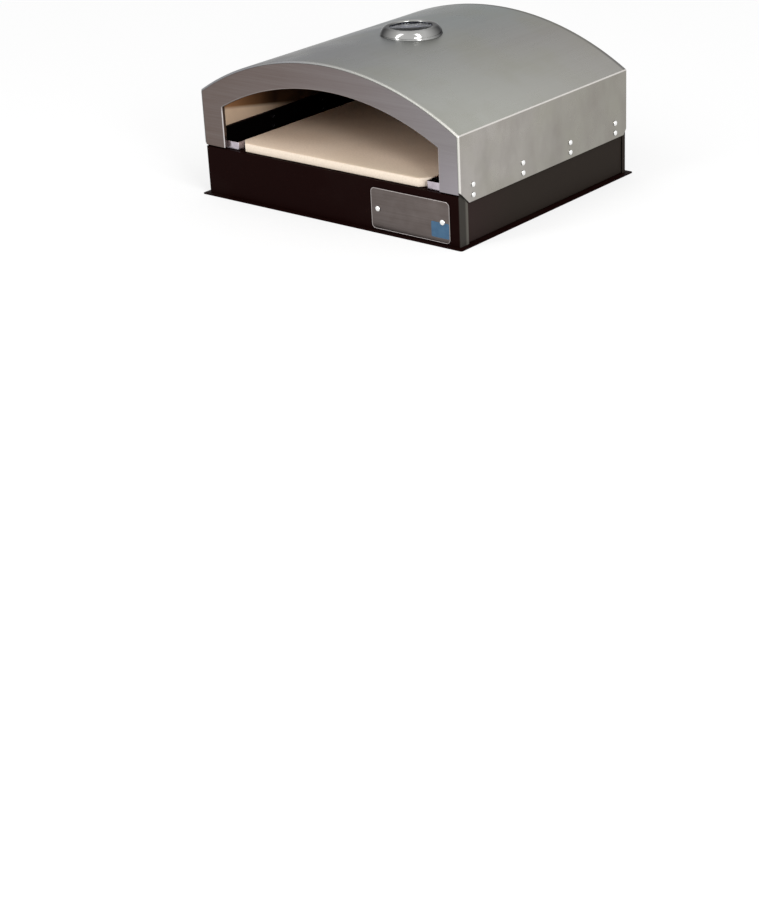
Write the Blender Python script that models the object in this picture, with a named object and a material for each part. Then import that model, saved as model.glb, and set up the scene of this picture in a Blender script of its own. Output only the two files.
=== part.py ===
# Arched, double-walled pizza oven for a camp stove.
# Metres, +Z up, the mouth faces -Y. The origin is the middle of the footprint, on its underside.
import math

import bmesh
import bpy
from mathutils import Matrix, Vector

# Outer shell
BODY_WIDTH = 0.4104
BODY_DEPTH = 0.343
CROWN_HEIGHT = 0.1940
ARCH_RISE = 0.0589
SHOULDER_RADIUS = 0.0026
SHEET = 0.001
ROLL_RADIUS = 0.002
LEAST_CORNER = 0.0002

# Skirts of the shell, which lap over the base
SKIRT_BOTTOM = 0.0525
SKIRT_ROOM = 0.0025
FRONT_CLIP_DEPTH = 0.0165
FRONT_CLIP_HEIGHT = 0.0155
BACK_CLIP_DEPTH = 0.008
BACK_CLIP_HEIGHT = 0.009
BACK_PANEL_FLANGE = 0.008

# Mouth in the front panel
BORDER_SIDE = 0.0332
BORDER_TOP = 0.0338
MOUTH_RISE = 0.0430
MOUTH_CORNER = 0.0015
MOUTH_RETURN = 0.005
MOUTH_ROLL = 0.001
MOUTH_BAND = 0.006
PANEL_CLEARANCE = 0.0022

# Running gap between neighbours, the margin of their bends, and how far cutters run past a wall
GAP = 0.0003
BEND_CLEARANCE = 0.0008
OVERRUN = 0.01

# Base
PLATE = 0.0012
PLATE_BEND = 0.0015
LIP_WIDTH = 0.0068
LIP_THICKNESS = 0.0015
LIP_CORNER = 0.003
BURNER_RADIUS = 0.105
FRONT_WALL_TOP = 0.0628
BACK_WALL_DROP = 0.005
SIDE_WALL_RISE = 0.0209
FRONT_TAB = 0.016
BACK_TAB = 0.008
TAB_CLEARANCE = 0.0015
LEDGE_WIDTH = 0.014
FOOT_FLANGE = 0.012
SIDE_FLANGE = 0.0132
WALL_EDGE_BEVEL = 0.0009

# Inner liner
AIR_GAP = 0.011
BACK_AIR_GAP = 0.019
LINER_FLANGE = 0.008
LINER_BACK_DROP = 0.0235

# Pizza stone with the clips and rail that hold it
STONE_THICKNESS = 0.011
STONE_CORNER = 0.012
STONE_EDGE_BEVEL = 0.001
STONE_SIDE_ROOM = 0.021
STONE_FRONT_ROOM = 0.005
STONE_BACK_ROOM = 0.038
CLIP_GAP = 0.0004
CLIP_HEIGHT = 0.0102
CLIP_LENGTH = 0.025
CLIP_FOOT = 0.008
REAR_CLIP_FOOT = 0.014
REAR_CLIP_REACH = 0.017
RAIL_WIDTH = 0.0347
RAIL_DROP = 0.0173
RAIL_BEHIND_STONE = 0.0075

# Heat diffuser over the burner opening
DIFFUSER_WIDTH = 0.2612
DIFFUSER_DEPTH = 0.220
DIFFUSER_HEIGHT = 0.0334
DIFFUSER_FOOT = 0.012
DIFFUSER_BEND = 0.0025
SLOT_LENGTH = 0.050
SLOT_WIDTH = 0.008
SLOT_PITCH = 0.036
SLOT_INSET = 0.045
SLOTS_A_SIDE = 5

# Fasteners
HOLE_CLEARANCE = 0.0003
SIDE_RIVET_HEAD = 0.0034
SIDE_RIVET_HEIGHT = 0.0019
RIVET_SHANK = 0.0018
RIVET_TAIL = 0.0026
RIVET_TAIL_HEIGHT = 0.001
RIVET_FRONT_SETBACK = 0.0245
RIVET_BACK_SETBACK = 0.0270
RIVETS_A_ROW = 4
RIVET_LOW_ROW = 0.0600
RIVET_ROW_GAP = 0.0125
SCREW_HEAD = 0.0030
SCREW_HEAD_HEIGHT = 0.0018
SCREW_SHANK = 0.0015
SCREW_LENGTH = 0.007
SCREW_SETBACK = 0.004

# Bare plate on the front wall
NAMEPLATE_WIDTH = 0.1197
NAMEPLATE_HEIGHT = 0.0516
NAMEPLATE_SHEET = 0.0008
NAMEPLATE_CORNER = 0.006
NAMEPLATE_RIGHT = 0.0160
NAMEPLATE_LIFT = 0.0011
NAMEPLATE_RIVET_HEAD = 0.0038
NAMEPLATE_RIVET_HEIGHT = 0.002
NAMEPLATE_RIVET_INSET = 0.0108

# Thermometer on the crown
GAUGE_RADIUS = 0.0385
BEZEL_WALL = 0.001
BEZEL_HEIGHT = 0.0081
BEZEL_LIFT = 0.0006
BEZEL_ROUND = 0.0075
WINDOW_RADIUS = 0.0265
CASE_CLEARANCE = 0.0022
CASE_FLOOR = 0.0008
CASE_RIM_WIDTH = 0.0058
CASE_LEDGE_WIDTH = 0.0017
DIAL_LIFT = 0.0031
DIAL_SHEET = 0.0005
DIAL_BORE = 0.0022
GASKET = 0.0004
GASKET_WIDTH = 0.0014
LENS = 0.0008
NECK_RADIUS = 0.005
NECK_BORE = 0.004
NECK_CLEARANCE = 0.0005
NECK_PAST_NUT = 0.0025
STEM_RADIUS = 0.0035
STEM_WALL = 0.0005
STEM_FLANGE = 0.0055
STEM_FLANGE_HEIGHT = 0.0006
STEM_REACH = 0.043
SPINDLE_RADIUS = 0.0009
SPINDLE_NECK = 0.0008
SPINDLE_SHOULDER = 0.0017
SPINDLE_SHOULDER_HEIGHT = 0.001
SPINDLE_CAP = 0.0024
SPINDLE_CAP_HEIGHT = 0.0006
SPINDLE_COLLAR_HEIGHT = 0.001
BUSH_LENGTH = 0.004
NEEDLE_LENGTH = 0.0235
NEEDLE_TAIL = 0.009
NEEDLE_HUB = 0.0034
NEEDLE_WIDTH = 0.0026
NEEDLE_TIP_WIDTH = 0.0005
NEEDLE_SHEET = 0.0005
NEEDLE_LIFT = 0.0007
NEEDLE_REST_ANGLE = math.radians(225)
COIL_STRIP = 0.0003
COIL_STRIP_WIDTH = 0.0011
COIL_PITCH = 0.0024
COIL_TURNS = 12
SPACER_WALL = 0.0025
WASHER_RADIUS = 0.009
WASHER_THICKNESS = 0.0012
NUT_FLATS = 0.015
NUT_HEIGHT = 0.005

# Smoothness, as counts
ARCH_STEPS = 32
SHOULDER_STEPS = 2
BEND_STEPS = 2
ROUND_STEPS = 40
SMALL_STEPS = 10
HEAD_STEPS = 2
BEZEL_STEPS = 4
COIL_STEPS = 8
SMOOTH_ANGLE = math.radians(32)

# How nearly a face must point along an axis to count as facing that way, and the roundness of a bevel
FACING_SHARE = 0.99
BEVEL_PROFILE_SHARE = 0.5

# Places worked out from the sizes
HALF_WIDTH = BODY_WIDTH / 2
FACE = BODY_DEPTH / 2
WALL_X = HALF_WIDTH - SHEET - SKIRT_ROOM
TAB_X = WALL_X + GAP + PLATE
BASE_FOOT = LIP_THICKNESS + GAP
SIDE_WALL_TOP = FRONT_WALL_TOP + SIDE_WALL_RISE
BACK_WALL_TOP = FRONT_WALL_TOP - BACK_WALL_DROP
SIDE_FLANGE_X = WALL_X - SIDE_FLANGE
STONE_BOTTOM = FRONT_WALL_TOP + GAP
MOUTH_SIDE = HALF_WIDTH - BORDER_SIDE
STONE_SIDE = MOUTH_SIDE - STONE_SIDE_ROOM
STONE_FRONT = STONE_FRONT_ROOM - FACE
STONE_BACK = FACE - STONE_BACK_ROOM
LINER_INSET = SHEET + AIR_GAP
LINER_BACK_Y = FACE - SHEET - BACK_AIR_GAP - SHEET
PANEL_INSET = SHEET / 2 + ROLL_RADIUS + GAP
SIDE_STACK = GAP + SHEET + SKIRT_ROOM + PLATE + GAP

# Thermometer places: the stack goes upwards from the crown
NECK_HOLE = NECK_RADIUS + NECK_CLEARANCE
GAUGE_SEAT = CROWN_HEIGHT + GAP
CASE_FLOOR_TOP = GAUGE_SEAT + CASE_FLOOR
CASE_RADIUS = GAUGE_RADIUS - BEZEL_WALL - CASE_CLEARANCE
CASE_RIM_BORE = CASE_RADIUS - CASE_RIM_WIDTH
DIAL_BOTTOM = GAUGE_SEAT + DIAL_LIFT
NEEDLE_BOTTOM = DIAL_BOTTOM + DIAL_SHEET + NEEDLE_LIFT
NEEDLE_TOP = NEEDLE_BOTTOM + NEEDLE_SHEET
BEZEL_BOTTOM = GAUGE_SEAT + BEZEL_LIFT
BEZEL_TOP = BEZEL_BOTTOM + BEZEL_HEIGHT
LENS_TOP = BEZEL_TOP - BEZEL_WALL - GAP
LENS_BOTTOM = LENS_TOP - LENS
LENS_RADIUS = GAUGE_RADIUS - BEZEL_ROUND - GAP
GASKET_TOP = LENS_BOTTOM - GAP
GASKET_BOTTOM = GASKET_TOP - GASKET
CASE_RIM_TOP = GASKET_BOTTOM - GAP
STEM_BORE = STEM_RADIUS - STEM_WALL
STEM_FLANGE_BOTTOM = CASE_FLOOR_TOP + GAP

materials = {}


class Arch:
    # A circular arch over upright sides, with a rounded shoulder where they meet.
    def __init__(self, half_width, apex, rise, corner):
        self.half_width = half_width
        self.corner = corner
        self.radius = (half_width**2 + rise**2) / (2 * rise)
        self.centre = apex - self.radius

    def height(self, x, inset):
        return self.centre + math.sqrt((self.radius - inset) ** 2 - x**2)

    # Points (x, z) from the right foot over the arch to the left foot.
    def outline(self, inset, foot):
        corner = max(self.corner - inset, LEAST_CORNER)
        radius = self.radius - inset
        side = self.half_width - inset
        turn_x = side - corner
        turn_z = self.centre + math.sqrt((radius - corner) ** 2 - turn_x**2)
        meet = math.atan2(turn_x, turn_z - self.centre)
        points = [(side, foot)]
        for step in range(SHOULDER_STEPS + 1):
            angle = math.pi / 2 + (meet - math.pi / 2) * step / SHOULDER_STEPS
            points.append((turn_x + corner * math.sin(angle), turn_z + corner * math.cos(angle)))
        for step in range(1, ARCH_STEPS // 2):
            angle = meet * (1 - 2 * step / ARCH_STEPS)
            points.append((radius * math.sin(angle), self.centre + radius * math.cos(angle)))
        crown = (0, self.centre + radius)
        return points + [crown] + [(-x, z) for x, z in reversed(points)]


DOME = Arch(HALF_WIDTH, CROWN_HEIGHT, ARCH_RISE, SHOULDER_RADIUS)
MOUTH = Arch(MOUTH_SIDE, CROWN_HEIGHT - BORDER_TOP, MOUTH_RISE, MOUTH_CORNER)

# Thermometer places below the crown: the stem, and the washer and nut that hold it under the liner
STEM_TIP = DOME.height(0, LINER_INSET + SHEET) - STEM_REACH
STEM_FLOOR = STEM_TIP + SHEET
COIL_BOTTOM = STEM_FLOOR + GAP
COIL_TOP = COIL_BOTTOM + COIL_TURNS * COIL_PITCH + COIL_STRIP_WIDTH
WASHER_TOP = DOME.height(WASHER_RADIUS, LINER_INSET + SHEET) - GAP
WASHER_BOTTOM = WASHER_TOP - WASHER_THICKNESS
NUT_TOP = WASHER_BOTTOM - GAP
NUT_BORE = NECK_RADIUS + GAP
NECK_END = NUT_TOP - NUT_HEIGHT - NECK_PAST_NUT


# Helpers: finishes and objects
def finish(name, colour, roughness, metallic):
    if name not in materials:
        made = bpy.data.materials.new(name)
        made.use_nodes = True
        shader = made.node_tree.nodes["Principled BSDF"]
        shader.inputs["Base Color"].default_value = (*colour, 1)
        shader.inputs["Roughness"].default_value = roughness
        shader.inputs["Metallic"].default_value = metallic
        materials[name] = made
    return materials[name]


def stainless():
    return finish("brushed_stainless", (0.42, 0.41, 0.39), 0.34, 1)


def bright_steel():
    return finish("bright_steel", (0.72, 0.71, 0.70), 0.2, 1)


def liner_steel():
    return finish("liner_steel", (0.60, 0.56, 0.50), 0.16, 1)


def black_paint():
    return finish("black_paint", (0.016, 0.012, 0.011), 0.45, 0)


def chrome():
    return finish("chrome", (0.80, 0.80, 0.80), 0.08, 1)


def brass():
    return finish("brass", (0.60, 0.42, 0.16), 0.3, 1)


def add_object(name, mesh, look):
    obj = bpy.data.objects.new(name, mesh)
    bpy.context.scene.collection.objects.link(obj)
    if not mesh.materials:
        mesh.materials.append(look)
    return obj


def make(name, bm, look, smooth=True):
    bmesh.ops.recalc_face_normals(bm, faces=bm.faces)
    mesh = bpy.data.meshes.new(name)
    bm.to_mesh(mesh)
    bm.free()
    if smooth:
        mesh.shade_smooth()
        mesh.set_sharp_from_angle(angle=SMOOTH_ANGLE)
    return add_object(name, mesh, look)


def cutter(name, bm):
    obj = make(name, bm, black_paint(), smooth=False)
    obj.hide_render = True
    obj.display_type = "WIRE"
    return obj


def cut(target, tool):
    boolean = target.modifiers.new("cut_" + tool.name, "BOOLEAN")
    boolean.operation = "DIFFERENCE"
    boolean.solver = "EXACT"
    boolean.object = tool


# Helpers: shapes
def across_x(u, v, w):
    return Vector((w, u, v))


def across_y(u, v, w):
    return Vector((u, w, v))


def upright(u, v, w):
    return Vector((u, v, w))


def prism(outline, low, high, place):
    bm = bmesh.new()
    face = bm.faces.new([bm.verts.new(place(u, v, low)) for u, v in outline])
    raised = bmesh.ops.extrude_face_region(bm, geom=[face], use_keep_orig=True)
    moved = [item for item in raised["geom"] if isinstance(item, bmesh.types.BMVert)]
    bmesh.ops.translate(bm, vec=place(0, 0, high) - place(0, 0, low), verts=moved)
    bmesh.ops.recalc_face_normals(bm, faces=bm.faces)
    return bm


def lathe(profile, steps, ring=False):
    bm = bmesh.new()
    verts = [bm.verts.new((radius, 0, height)) for radius, height in profile]
    edges = [bm.edges.new(pair) for pair in zip(verts, verts[1:])]
    if ring:
        edges.append(bm.edges.new((verts[-1], verts[0])))
    bmesh.ops.spin(
        bm, geom=verts + edges, cent=(0, 0, 0), axis=(0, 0, 1), angle=math.tau, steps=steps, use_merge=True
    )
    bmesh.ops.remove_doubles(bm, verts=bm.verts, dist=LEAST_CORNER / 100)
    return bm


# The two faces of a sheet folded along a centre line, with rounded bends, as (left, right) points.
def folded_sides(path, thickness, bend):
    path = [Vector(point) for point in path]
    left = []
    right = []

    def station(point, normal):
        left.append(point + normal * thickness / 2)
        right.append(point - normal * thickness / 2)

    def left_of(start, end):
        along = (end - start).normalized()
        return Vector((-along.y, along.x))

    station(path[0], left_of(path[0], path[1]))
    for before, corner, after in zip(path, path[1:], path[2:]):
        normal = left_of(before, corner)
        along = (corner - before).normalized()
        ahead = (after - corner).normalized()
        turn = math.atan2(along.cross(ahead), along.dot(ahead))
        if math.isclose(turn, 0, abs_tol=math.radians(1)):
            station(corner, normal)
            continue
        reach = bend * math.tan(abs(turn) / 2)
        side = math.copysign(bend, turn)
        centre = corner - along * reach + normal * side
        for step in range(BEND_STEPS + 1):
            turned = Matrix.Rotation(turn * step / BEND_STEPS, 2) @ normal
            station(centre - turned * side, turned)
    station(path[-1], left_of(path[-2], path[-1]))
    return left, right


def folded_outline(path, thickness, bend):
    left, right = folded_sides(path, thickness, bend)
    return left + right[::-1]


# A closed sheet between two grids of points, face to face.
def skin(outer, inner):
    bm = bmesh.new()
    grids = [[[bm.verts.new(point) for point in row] for row in grid] for grid in (outer, inner)]
    rows = len(outer)
    count = len(outer[0])
    for grid in grids:
        for row, following in zip(grid, grid[1:]):
            for i in range(count - 1):
                bm.faces.new((row[i], row[i + 1], following[i + 1], following[i]))
    for k in (0, rows - 1):
        for i in range(count - 1):
            bm.faces.new((grids[0][k][i], grids[0][k][i + 1], grids[1][k][i + 1], grids[1][k][i]))
    for i in (0, count - 1):
        for k in range(rows - 1):
            bm.faces.new((grids[0][k][i], grids[0][k + 1][i], grids[1][k + 1][i], grids[1][k][i]))
    bmesh.ops.recalc_face_normals(bm, faces=bm.faces)
    return bm


def split(bm, point, normal):
    geometry = list(bm.verts) + list(bm.edges) + list(bm.faces)
    bmesh.ops.bisect_plane(bm, geom=geometry, plane_co=point, plane_no=normal, dist=LEAST_CORNER / 100)


# Folds a flange out of the faces that a test picks.
def pull(bm, chosen, vector):
    faces = [face for face in bm.faces if chosen(face.calc_center_median(), face.normal)]
    raised = bmesh.ops.extrude_face_region(bm, geom=faces)
    moved = [item for item in raised["geom"] if isinstance(item, bmesh.types.BMVert)]
    bmesh.ops.translate(bm, vec=vector, verts=moved)
    bmesh.ops.delete(bm, geom=[face for face in faces if face.is_valid], context="FACES")
    bmesh.ops.recalc_face_normals(bm, faces=bm.faces)


def round_edges(bm, chosen, width, steps):
    edges = [edge for edge in bm.edges if all(chosen(vert.co) for vert in edge.verts)]
    bmesh.ops.bevel(
        bm, geom=edges, offset=width, segments=steps, profile=BEVEL_PROFILE_SHARE, affect="EDGES"
    )


def rounded_rectangle(width, height, corner, steps):
    points = []
    for quarter in range(4):
        x_sign = 1 if quarter in (0, 3) else -1
        y_sign = 1 if quarter < 2 else -1
        for step in range(steps + 1):
            angle = math.pi / 2 * (quarter + step / steps)
            x = x_sign * (width / 2 - corner) + corner * math.cos(angle)
            y = y_sign * (height / 2 - corner) + corner * math.sin(angle)
            points.append((x, y))
    return points


# Round bars joined in one cutter: each entry is a centre and the axis it runs along.
def bars(places, radius, length, steps):
    bm = bmesh.new()
    for centre, axis in places:
        lean = Vector((0, 0, 1)).rotation_difference(Vector(axis)).to_matrix().to_4x4()
        bmesh.ops.create_cone(
            bm,
            cap_ends=True,
            segments=steps,
            radius1=radius,
            radius2=radius,
            depth=length,
            matrix=Matrix.Translation(centre) @ lean,
        )
    return bm


def mirrored(bm):
    bmesh.ops.scale(bm, vec=(-1, 1, 1), verts=bm.verts)
    bmesh.ops.reverse_faces(bm, faces=bm.faces)
    return bm


# Base
def bottom_plate():
    outline = rounded_rectangle(2 * (TAB_X + LIP_WIDTH), 2 * (FACE + LIP_WIDTH), LIP_CORNER, BEND_STEPS)
    plate = make("bottom_plate", prism(outline, 0, LIP_THICKNESS, upright), black_paint())
    hole = bars([((0, 0, 0), (0, 0, 1))], BURNER_RADIUS, 2 * OVERRUN, ROUND_STEPS)
    cut(plate, cutter("burner_opening", hole))


# An end wall with a tab folded round each corner, a ledge at its top and a flange at its foot.
def end_wall(name, top, tab, clip_depth, clip_height, turned, cutters):
    half = PLATE / 2
    side = TAB_X - half
    path = [(-side, tab - FACE), (-side, half - FACE), (side, half - FACE), (side, tab - FACE)]
    bm = prism(folded_outline(path, PLATE, PLATE_BEND), BASE_FOOT, top, upright)
    split(bm, (0, PLATE_BEND + half - FACE, 0), (0, 1, 0))
    clip_top = SKIRT_BOTTOM + clip_height - TAB_CLEARANCE
    for vert in bm.verts:
        if vert.co.z > BASE_FOOT + half:
            vert.co.z = min(top, clip_top - (vert.co.y + FACE) * clip_height / clip_depth)
    ledge_end = WALL_X - PLATE - GAP
    flange_end = SIDE_FLANGE_X - GAP
    for height in (top - PLATE, BASE_FOOT + PLATE):
        split(bm, (0, 0, height), (0, 0, 1))
    for x in (-ledge_end, -flange_end, flange_end, ledge_end):
        split(bm, (x, 0, 0), (1, 0, 0))

    def inner_face(middle, normal):
        return normal.y > FACING_SHARE and abs(middle.y - PLATE + FACE) < half / 2

    def ledge(middle, normal):
        return inner_face(middle, normal) and middle.z > top - PLATE and abs(middle.x) < ledge_end

    def foot(middle, normal):
        return inner_face(middle, normal) and middle.z < BASE_FOOT + PLATE and abs(middle.x) < flange_end

    pull(bm, ledge, (0, LEDGE_WIDTH, 0))
    pull(bm, foot, (0, FOOT_FLANGE, 0))

    def front_rim(point):
        return abs(point.z - top) < half / 2 and abs(point.y + FACE) < half / 2

    round_edges(bm, front_rim, WALL_EDGE_BEVEL, BEND_STEPS)
    if turned:
        bmesh.ops.rotate(bm, verts=bm.verts, matrix=Matrix.Rotation(math.pi, 3, "Z"))
    wall = make(name, bm, black_paint())
    for tool in cutters:
        cut(wall, tool)


def side_wall(name, sign, rivet_holes):
    half = PLATE / 2
    low = BASE_FOOT + half
    high = SIDE_WALL_TOP - half
    path = [(SIDE_FLANGE_X, low), (WALL_X - half, low), (WALL_X - half, high), (SIDE_FLANGE_X, high)]
    reach = FACE - PLATE - BEND_CLEARANCE
    bm = prism(folded_outline(path, PLATE, PLATE_BEND), -reach, reach, across_y)
    if sign < 0:
        bm = mirrored(bm)
    cut(make(name, bm, black_paint()), rivet_holes)


# Shell
def outer_dome(rivet_holes, neck_hole):
    half = SHEET / 2
    path = [
        (half - FACE, half + ROLL_RADIUS),
        (half - FACE, half),
        (FRONT_CLIP_DEPTH - FACE, half),
        (FACE - BACK_CLIP_DEPTH, half),
        (FACE - half, half),
        (FACE - half, half + ROLL_RADIUS),
    ]

    def foot(y):
        front = (FRONT_CLIP_DEPTH - FACE - y) * FRONT_CLIP_HEIGHT / FRONT_CLIP_DEPTH
        back = (y - FACE + BACK_CLIP_DEPTH) * BACK_CLIP_HEIGHT / BACK_CLIP_DEPTH
        return SKIRT_BOTTOM + max(front, back, 0)

    inner, outer = folded_sides(path, SHEET, ROLL_RADIUS)
    grids = []
    for stations in (outer, inner):
        grids.append([[(x, y, z) for x, z in DOME.outline(inset, foot(y))] for y, inset in stations])
    dome = make("outer_dome", skin(*grids), stainless())
    cut(dome, rivet_holes)
    cut(dome, neck_hole)


def front_panel():
    half = SHEET / 2
    foot = FRONT_WALL_TOP + PANEL_CLEARANCE
    path = [(MOUTH_RETURN - FACE, half), (half - FACE, half), (half - FACE, MOUTH_BAND)]
    grids = []
    for stations, y_edge in zip(folded_sides(path, SHEET, MOUTH_ROLL), (-FACE, SHEET - FACE)):
        grid = [[(x, y, z) for x, z in MOUTH.outline(-out, foot)] for y, out in stations]
        grid.append([(x, y_edge, z) for x, z in DOME.outline(PANEL_INSET, foot)])
        grids.append(grid)
    make("front_panel", skin(*grids), stainless())


def back_panel():
    foot = BACK_WALL_TOP + PANEL_CLEARANCE
    bm = prism(DOME.outline(PANEL_INSET, foot), FACE - SHEET, FACE, across_y)
    hem_end = WALL_X - PLATE - GAP
    split(bm, (0, 0, foot + SHEET), (0, 0, 1))
    for x in (-hem_end, hem_end):
        split(bm, (x, 0, 0), (1, 0, 0))

    def hem(middle, normal):
        return normal.y < -FACING_SHARE and middle.z < foot + SHEET and abs(middle.x) < hem_end

    pull(bm, hem, (0, -BACK_PANEL_FLANGE, 0))
    make("back_panel", bm, stainless())


# Liner
def inner_liner(neck_hole):
    half = SHEET / 2
    centre = LINER_INSET + half
    front = SHEET + GAP + half - FACE
    back = LINER_BACK_Y - GAP - half
    foot = SIDE_WALL_TOP + GAP
    path = [(front, centre - LINER_FLANGE), (front, centre), (back, centre), (back, centre - LINER_FLANGE)]
    grids = []
    for stations in folded_sides(path, SHEET, ROLL_RADIUS):
        grids.append([[(x, y, z) for x, z in DOME.outline(inset, foot)] for y, inset in stations])
    cut(make("inner_liner", skin(*grids), liner_steel()), neck_hole)


def liner_back_panel():
    foot = SIDE_WALL_TOP + GAP
    low = SIDE_WALL_TOP - LINER_BACK_DROP
    side = SIDE_FLANGE_X - GAP
    outline = DOME.outline(LINER_INSET + SHEET / 2 - LINER_FLANGE, foot)
    outline = [(side, low), (side, foot)] + outline + [(-side, foot), (-side, low)]
    make("liner_back_panel", prism(outline, LINER_BACK_Y, LINER_BACK_Y + SHEET, across_y), liner_steel())


# Stone and what carries it
def pizza_stone():
    side = STONE_SIDE
    corner = STONE_CORNER
    corners = ((1, STONE_BACK, -1), (-1, STONE_BACK, -1), (-1, STONE_FRONT, 1), (1, STONE_FRONT, 1))
    outline = []
    for x_sign, y_edge, y_sign in corners:
        on_side = (x_sign * side, y_edge + y_sign * corner)
        on_end = (x_sign * (side - corner), y_edge)
        outline += [on_side, on_end] if x_sign * y_sign < 0 else [on_end, on_side]
    bm = prism(outline, STONE_BOTTOM, STONE_BOTTOM + STONE_THICKNESS, upright)
    round_edges(bm, lambda point: True, STONE_EDGE_BEVEL, BEND_STEPS)
    make("pizza_stone", bm, finish("cordierite", (0.62, 0.50, 0.37), 0.85, 0))


def rail_y():
    return STONE_BACK + RAIL_BEHIND_STONE


def stone_rear_rail(screw_holes):
    half = PLATE / 2
    level = FRONT_WALL_TOP - half
    web = rail_y() - RAIL_WIDTH + half
    path = [(rail_y(), level), (web, level), (web, FRONT_WALL_TOP - RAIL_DROP)]
    reach = WALL_X - PLATE - GAP
    bm = prism(folded_outline(path, PLATE, PLATE_BEND), -reach, reach, across_x)
    cut(make("stone_rear_rail", bm, black_paint()), screw_holes)


def front_clip_screw():
    x = (STONE_SIDE + MOUTH_SIDE) / 2
    return Vector((x, STONE_FRONT + CLIP_GAP + PLATE + SCREW_SETBACK, STONE_BOTTOM + PLATE))


def rear_clip_screw():
    x = STONE_SIDE + CLIP_GAP + PLATE + REAR_CLIP_FOOT / 2
    return Vector((x, STONE_BACK - CLIP_LENGTH / 2, STONE_BOTTOM + PLATE))


def front_clip(name, sign, screw_holes):
    half = PLATE / 2
    side = STONE_SIDE + CLIP_GAP + half
    front = STONE_FRONT + CLIP_GAP + half
    jamb = MOUTH_SIDE - CLIP_GAP
    path = [(jamb, front), (side, front), (side, front + CLIP_LENGTH)]
    bm = prism(folded_outline(path, PLATE, PLATE_BEND), STONE_BOTTOM, STONE_BOTTOM + CLIP_HEIGHT, upright)
    split(bm, (0, 0, STONE_BOTTOM + PLATE), (0, 0, 1))

    def foot(middle, normal):
        return normal.y > FACING_SHARE and middle.z < STONE_BOTTOM + PLATE and middle.y < front + PLATE

    pull(bm, foot, (0, CLIP_FOOT, 0))
    if sign < 0:
        bm = mirrored(bm)
    cut(make(name, bm, bright_steel()), screw_holes)


def rear_clip(name, sign, screw_holes):
    half = PLATE / 2
    side = STONE_SIDE + CLIP_GAP + half
    stop = STONE_BACK + CLIP_GAP + half
    path = [(side - REAR_CLIP_REACH, stop), (side, stop), (side, stop - CLIP_LENGTH)]
    bm = prism(folded_outline(path, PLATE, PLATE_BEND), STONE_BOTTOM, STONE_BOTTOM + CLIP_HEIGHT, upright)
    split(bm, (0, 0, STONE_BOTTOM + PLATE), (0, 0, 1))

    def foot(middle, normal):
        return normal.x > FACING_SHARE and middle.z < STONE_BOTTOM + PLATE and middle.x > side

    pull(bm, foot, (REAR_CLIP_FOOT, 0, 0))
    if sign < 0:
        bm = mirrored(bm)
    cut(make(name, bm, bright_steel()), screw_holes)


def heat_diffuser():
    half = PLATE / 2
    side = DIFFUSER_WIDTH / 2 - half
    low = BASE_FOOT + half
    high = BASE_FOOT + DIFFUSER_HEIGHT - half
    toe = side + DIFFUSER_FOOT
    path = [(-toe, low), (-side, low), (-side, high), (side, high), (side, low), (toe, low)]
    depth = DIFFUSER_DEPTH / 2
    bm = prism(folded_outline(path, PLATE, DIFFUSER_BEND), -depth, depth, across_y)
    diffuser = make("heat_diffuser", bm, liner_steel())
    slots = bmesh.new()
    for sign in (-1, 1):
        for number in range(SLOTS_A_SIDE):
            x = sign * (DIFFUSER_WIDTH / 2 - SLOT_INSET)
            y = (number - (SLOTS_A_SIDE - 1) / 2) * SLOT_PITCH
            outline = rounded_rectangle(SLOT_LENGTH, SLOT_WIDTH, SLOT_WIDTH / 2 - LEAST_CORNER, BEND_STEPS)
            slot = prism([(x + u, y + v) for u, v in outline], high - OVERRUN, high + OVERRUN, upright)
            piece = bpy.data.meshes.new("slot")
            slot.to_mesh(piece)
            slot.free()
            slots.from_mesh(piece)
            bpy.data.meshes.remove(piece)
    cut(diffuser, cutter("diffuser_slots", slots))


# Fasteners
def domed(radius, height, steps):
    points = []
    for step in range(steps + 1):
        angle = math.pi / 2 * step / steps
        points.append((radius * math.cos(angle), height * math.sin(angle)))
    points[-1] = (0, height)
    return points


# A rivet along +Z whose head sits on z = 0; its tail closes below the stack that it holds.
def rivet_mesh(name, head, height, stack):
    profile = [
        (0, -stack - RIVET_TAIL_HEIGHT),
        (RIVET_TAIL, -stack - RIVET_TAIL_HEIGHT),
        (RIVET_TAIL, -stack),
        (RIVET_SHANK, -stack),
        (RIVET_SHANK, 0),
    ]
    obj = make(name, lathe(profile + domed(head, height, HEAD_STEPS), SMALL_STEPS), bright_steel())
    mesh = obj.data
    bpy.data.objects.remove(obj)
    return mesh


def side_rivet_places():
    pitch = (BODY_DEPTH - RIVET_FRONT_SETBACK - RIVET_BACK_SETBACK) / (RIVETS_A_ROW - 1)
    places = []
    for number in range(RIVETS_A_ROW):
        for row, level in enumerate(("low", "high")):
            y = RIVET_FRONT_SETBACK - FACE + number * pitch
            places.append((f"{number + 1}_{level}", y, RIVET_LOW_ROW + row * RIVET_ROW_GAP))
    return places


def side_rivets():
    mesh = rivet_mesh("side_rivet", SIDE_RIVET_HEAD, SIDE_RIVET_HEIGHT, SIDE_STACK)
    for side, sign in (("left", -1), ("right", 1)):
        for label, y, z in side_rivet_places():
            rivet = add_object(f"side_rivet_{side}_{label}", mesh, bright_steel())
            rivet.location = (sign * (HALF_WIDTH + GAP), y, z)
            rivet.rotation_euler = (0, sign * math.pi / 2, 0)


def side_rivet_holes():
    places = [((sign * WALL_X, y, z), (1, 0, 0)) for sign in (-1, 1) for _, y, z in side_rivet_places()]
    holes = bars(places, RIVET_SHANK + HOLE_CLEARANCE, OVERRUN, SMALL_STEPS)
    return cutter("side_rivet_holes", holes)


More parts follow.
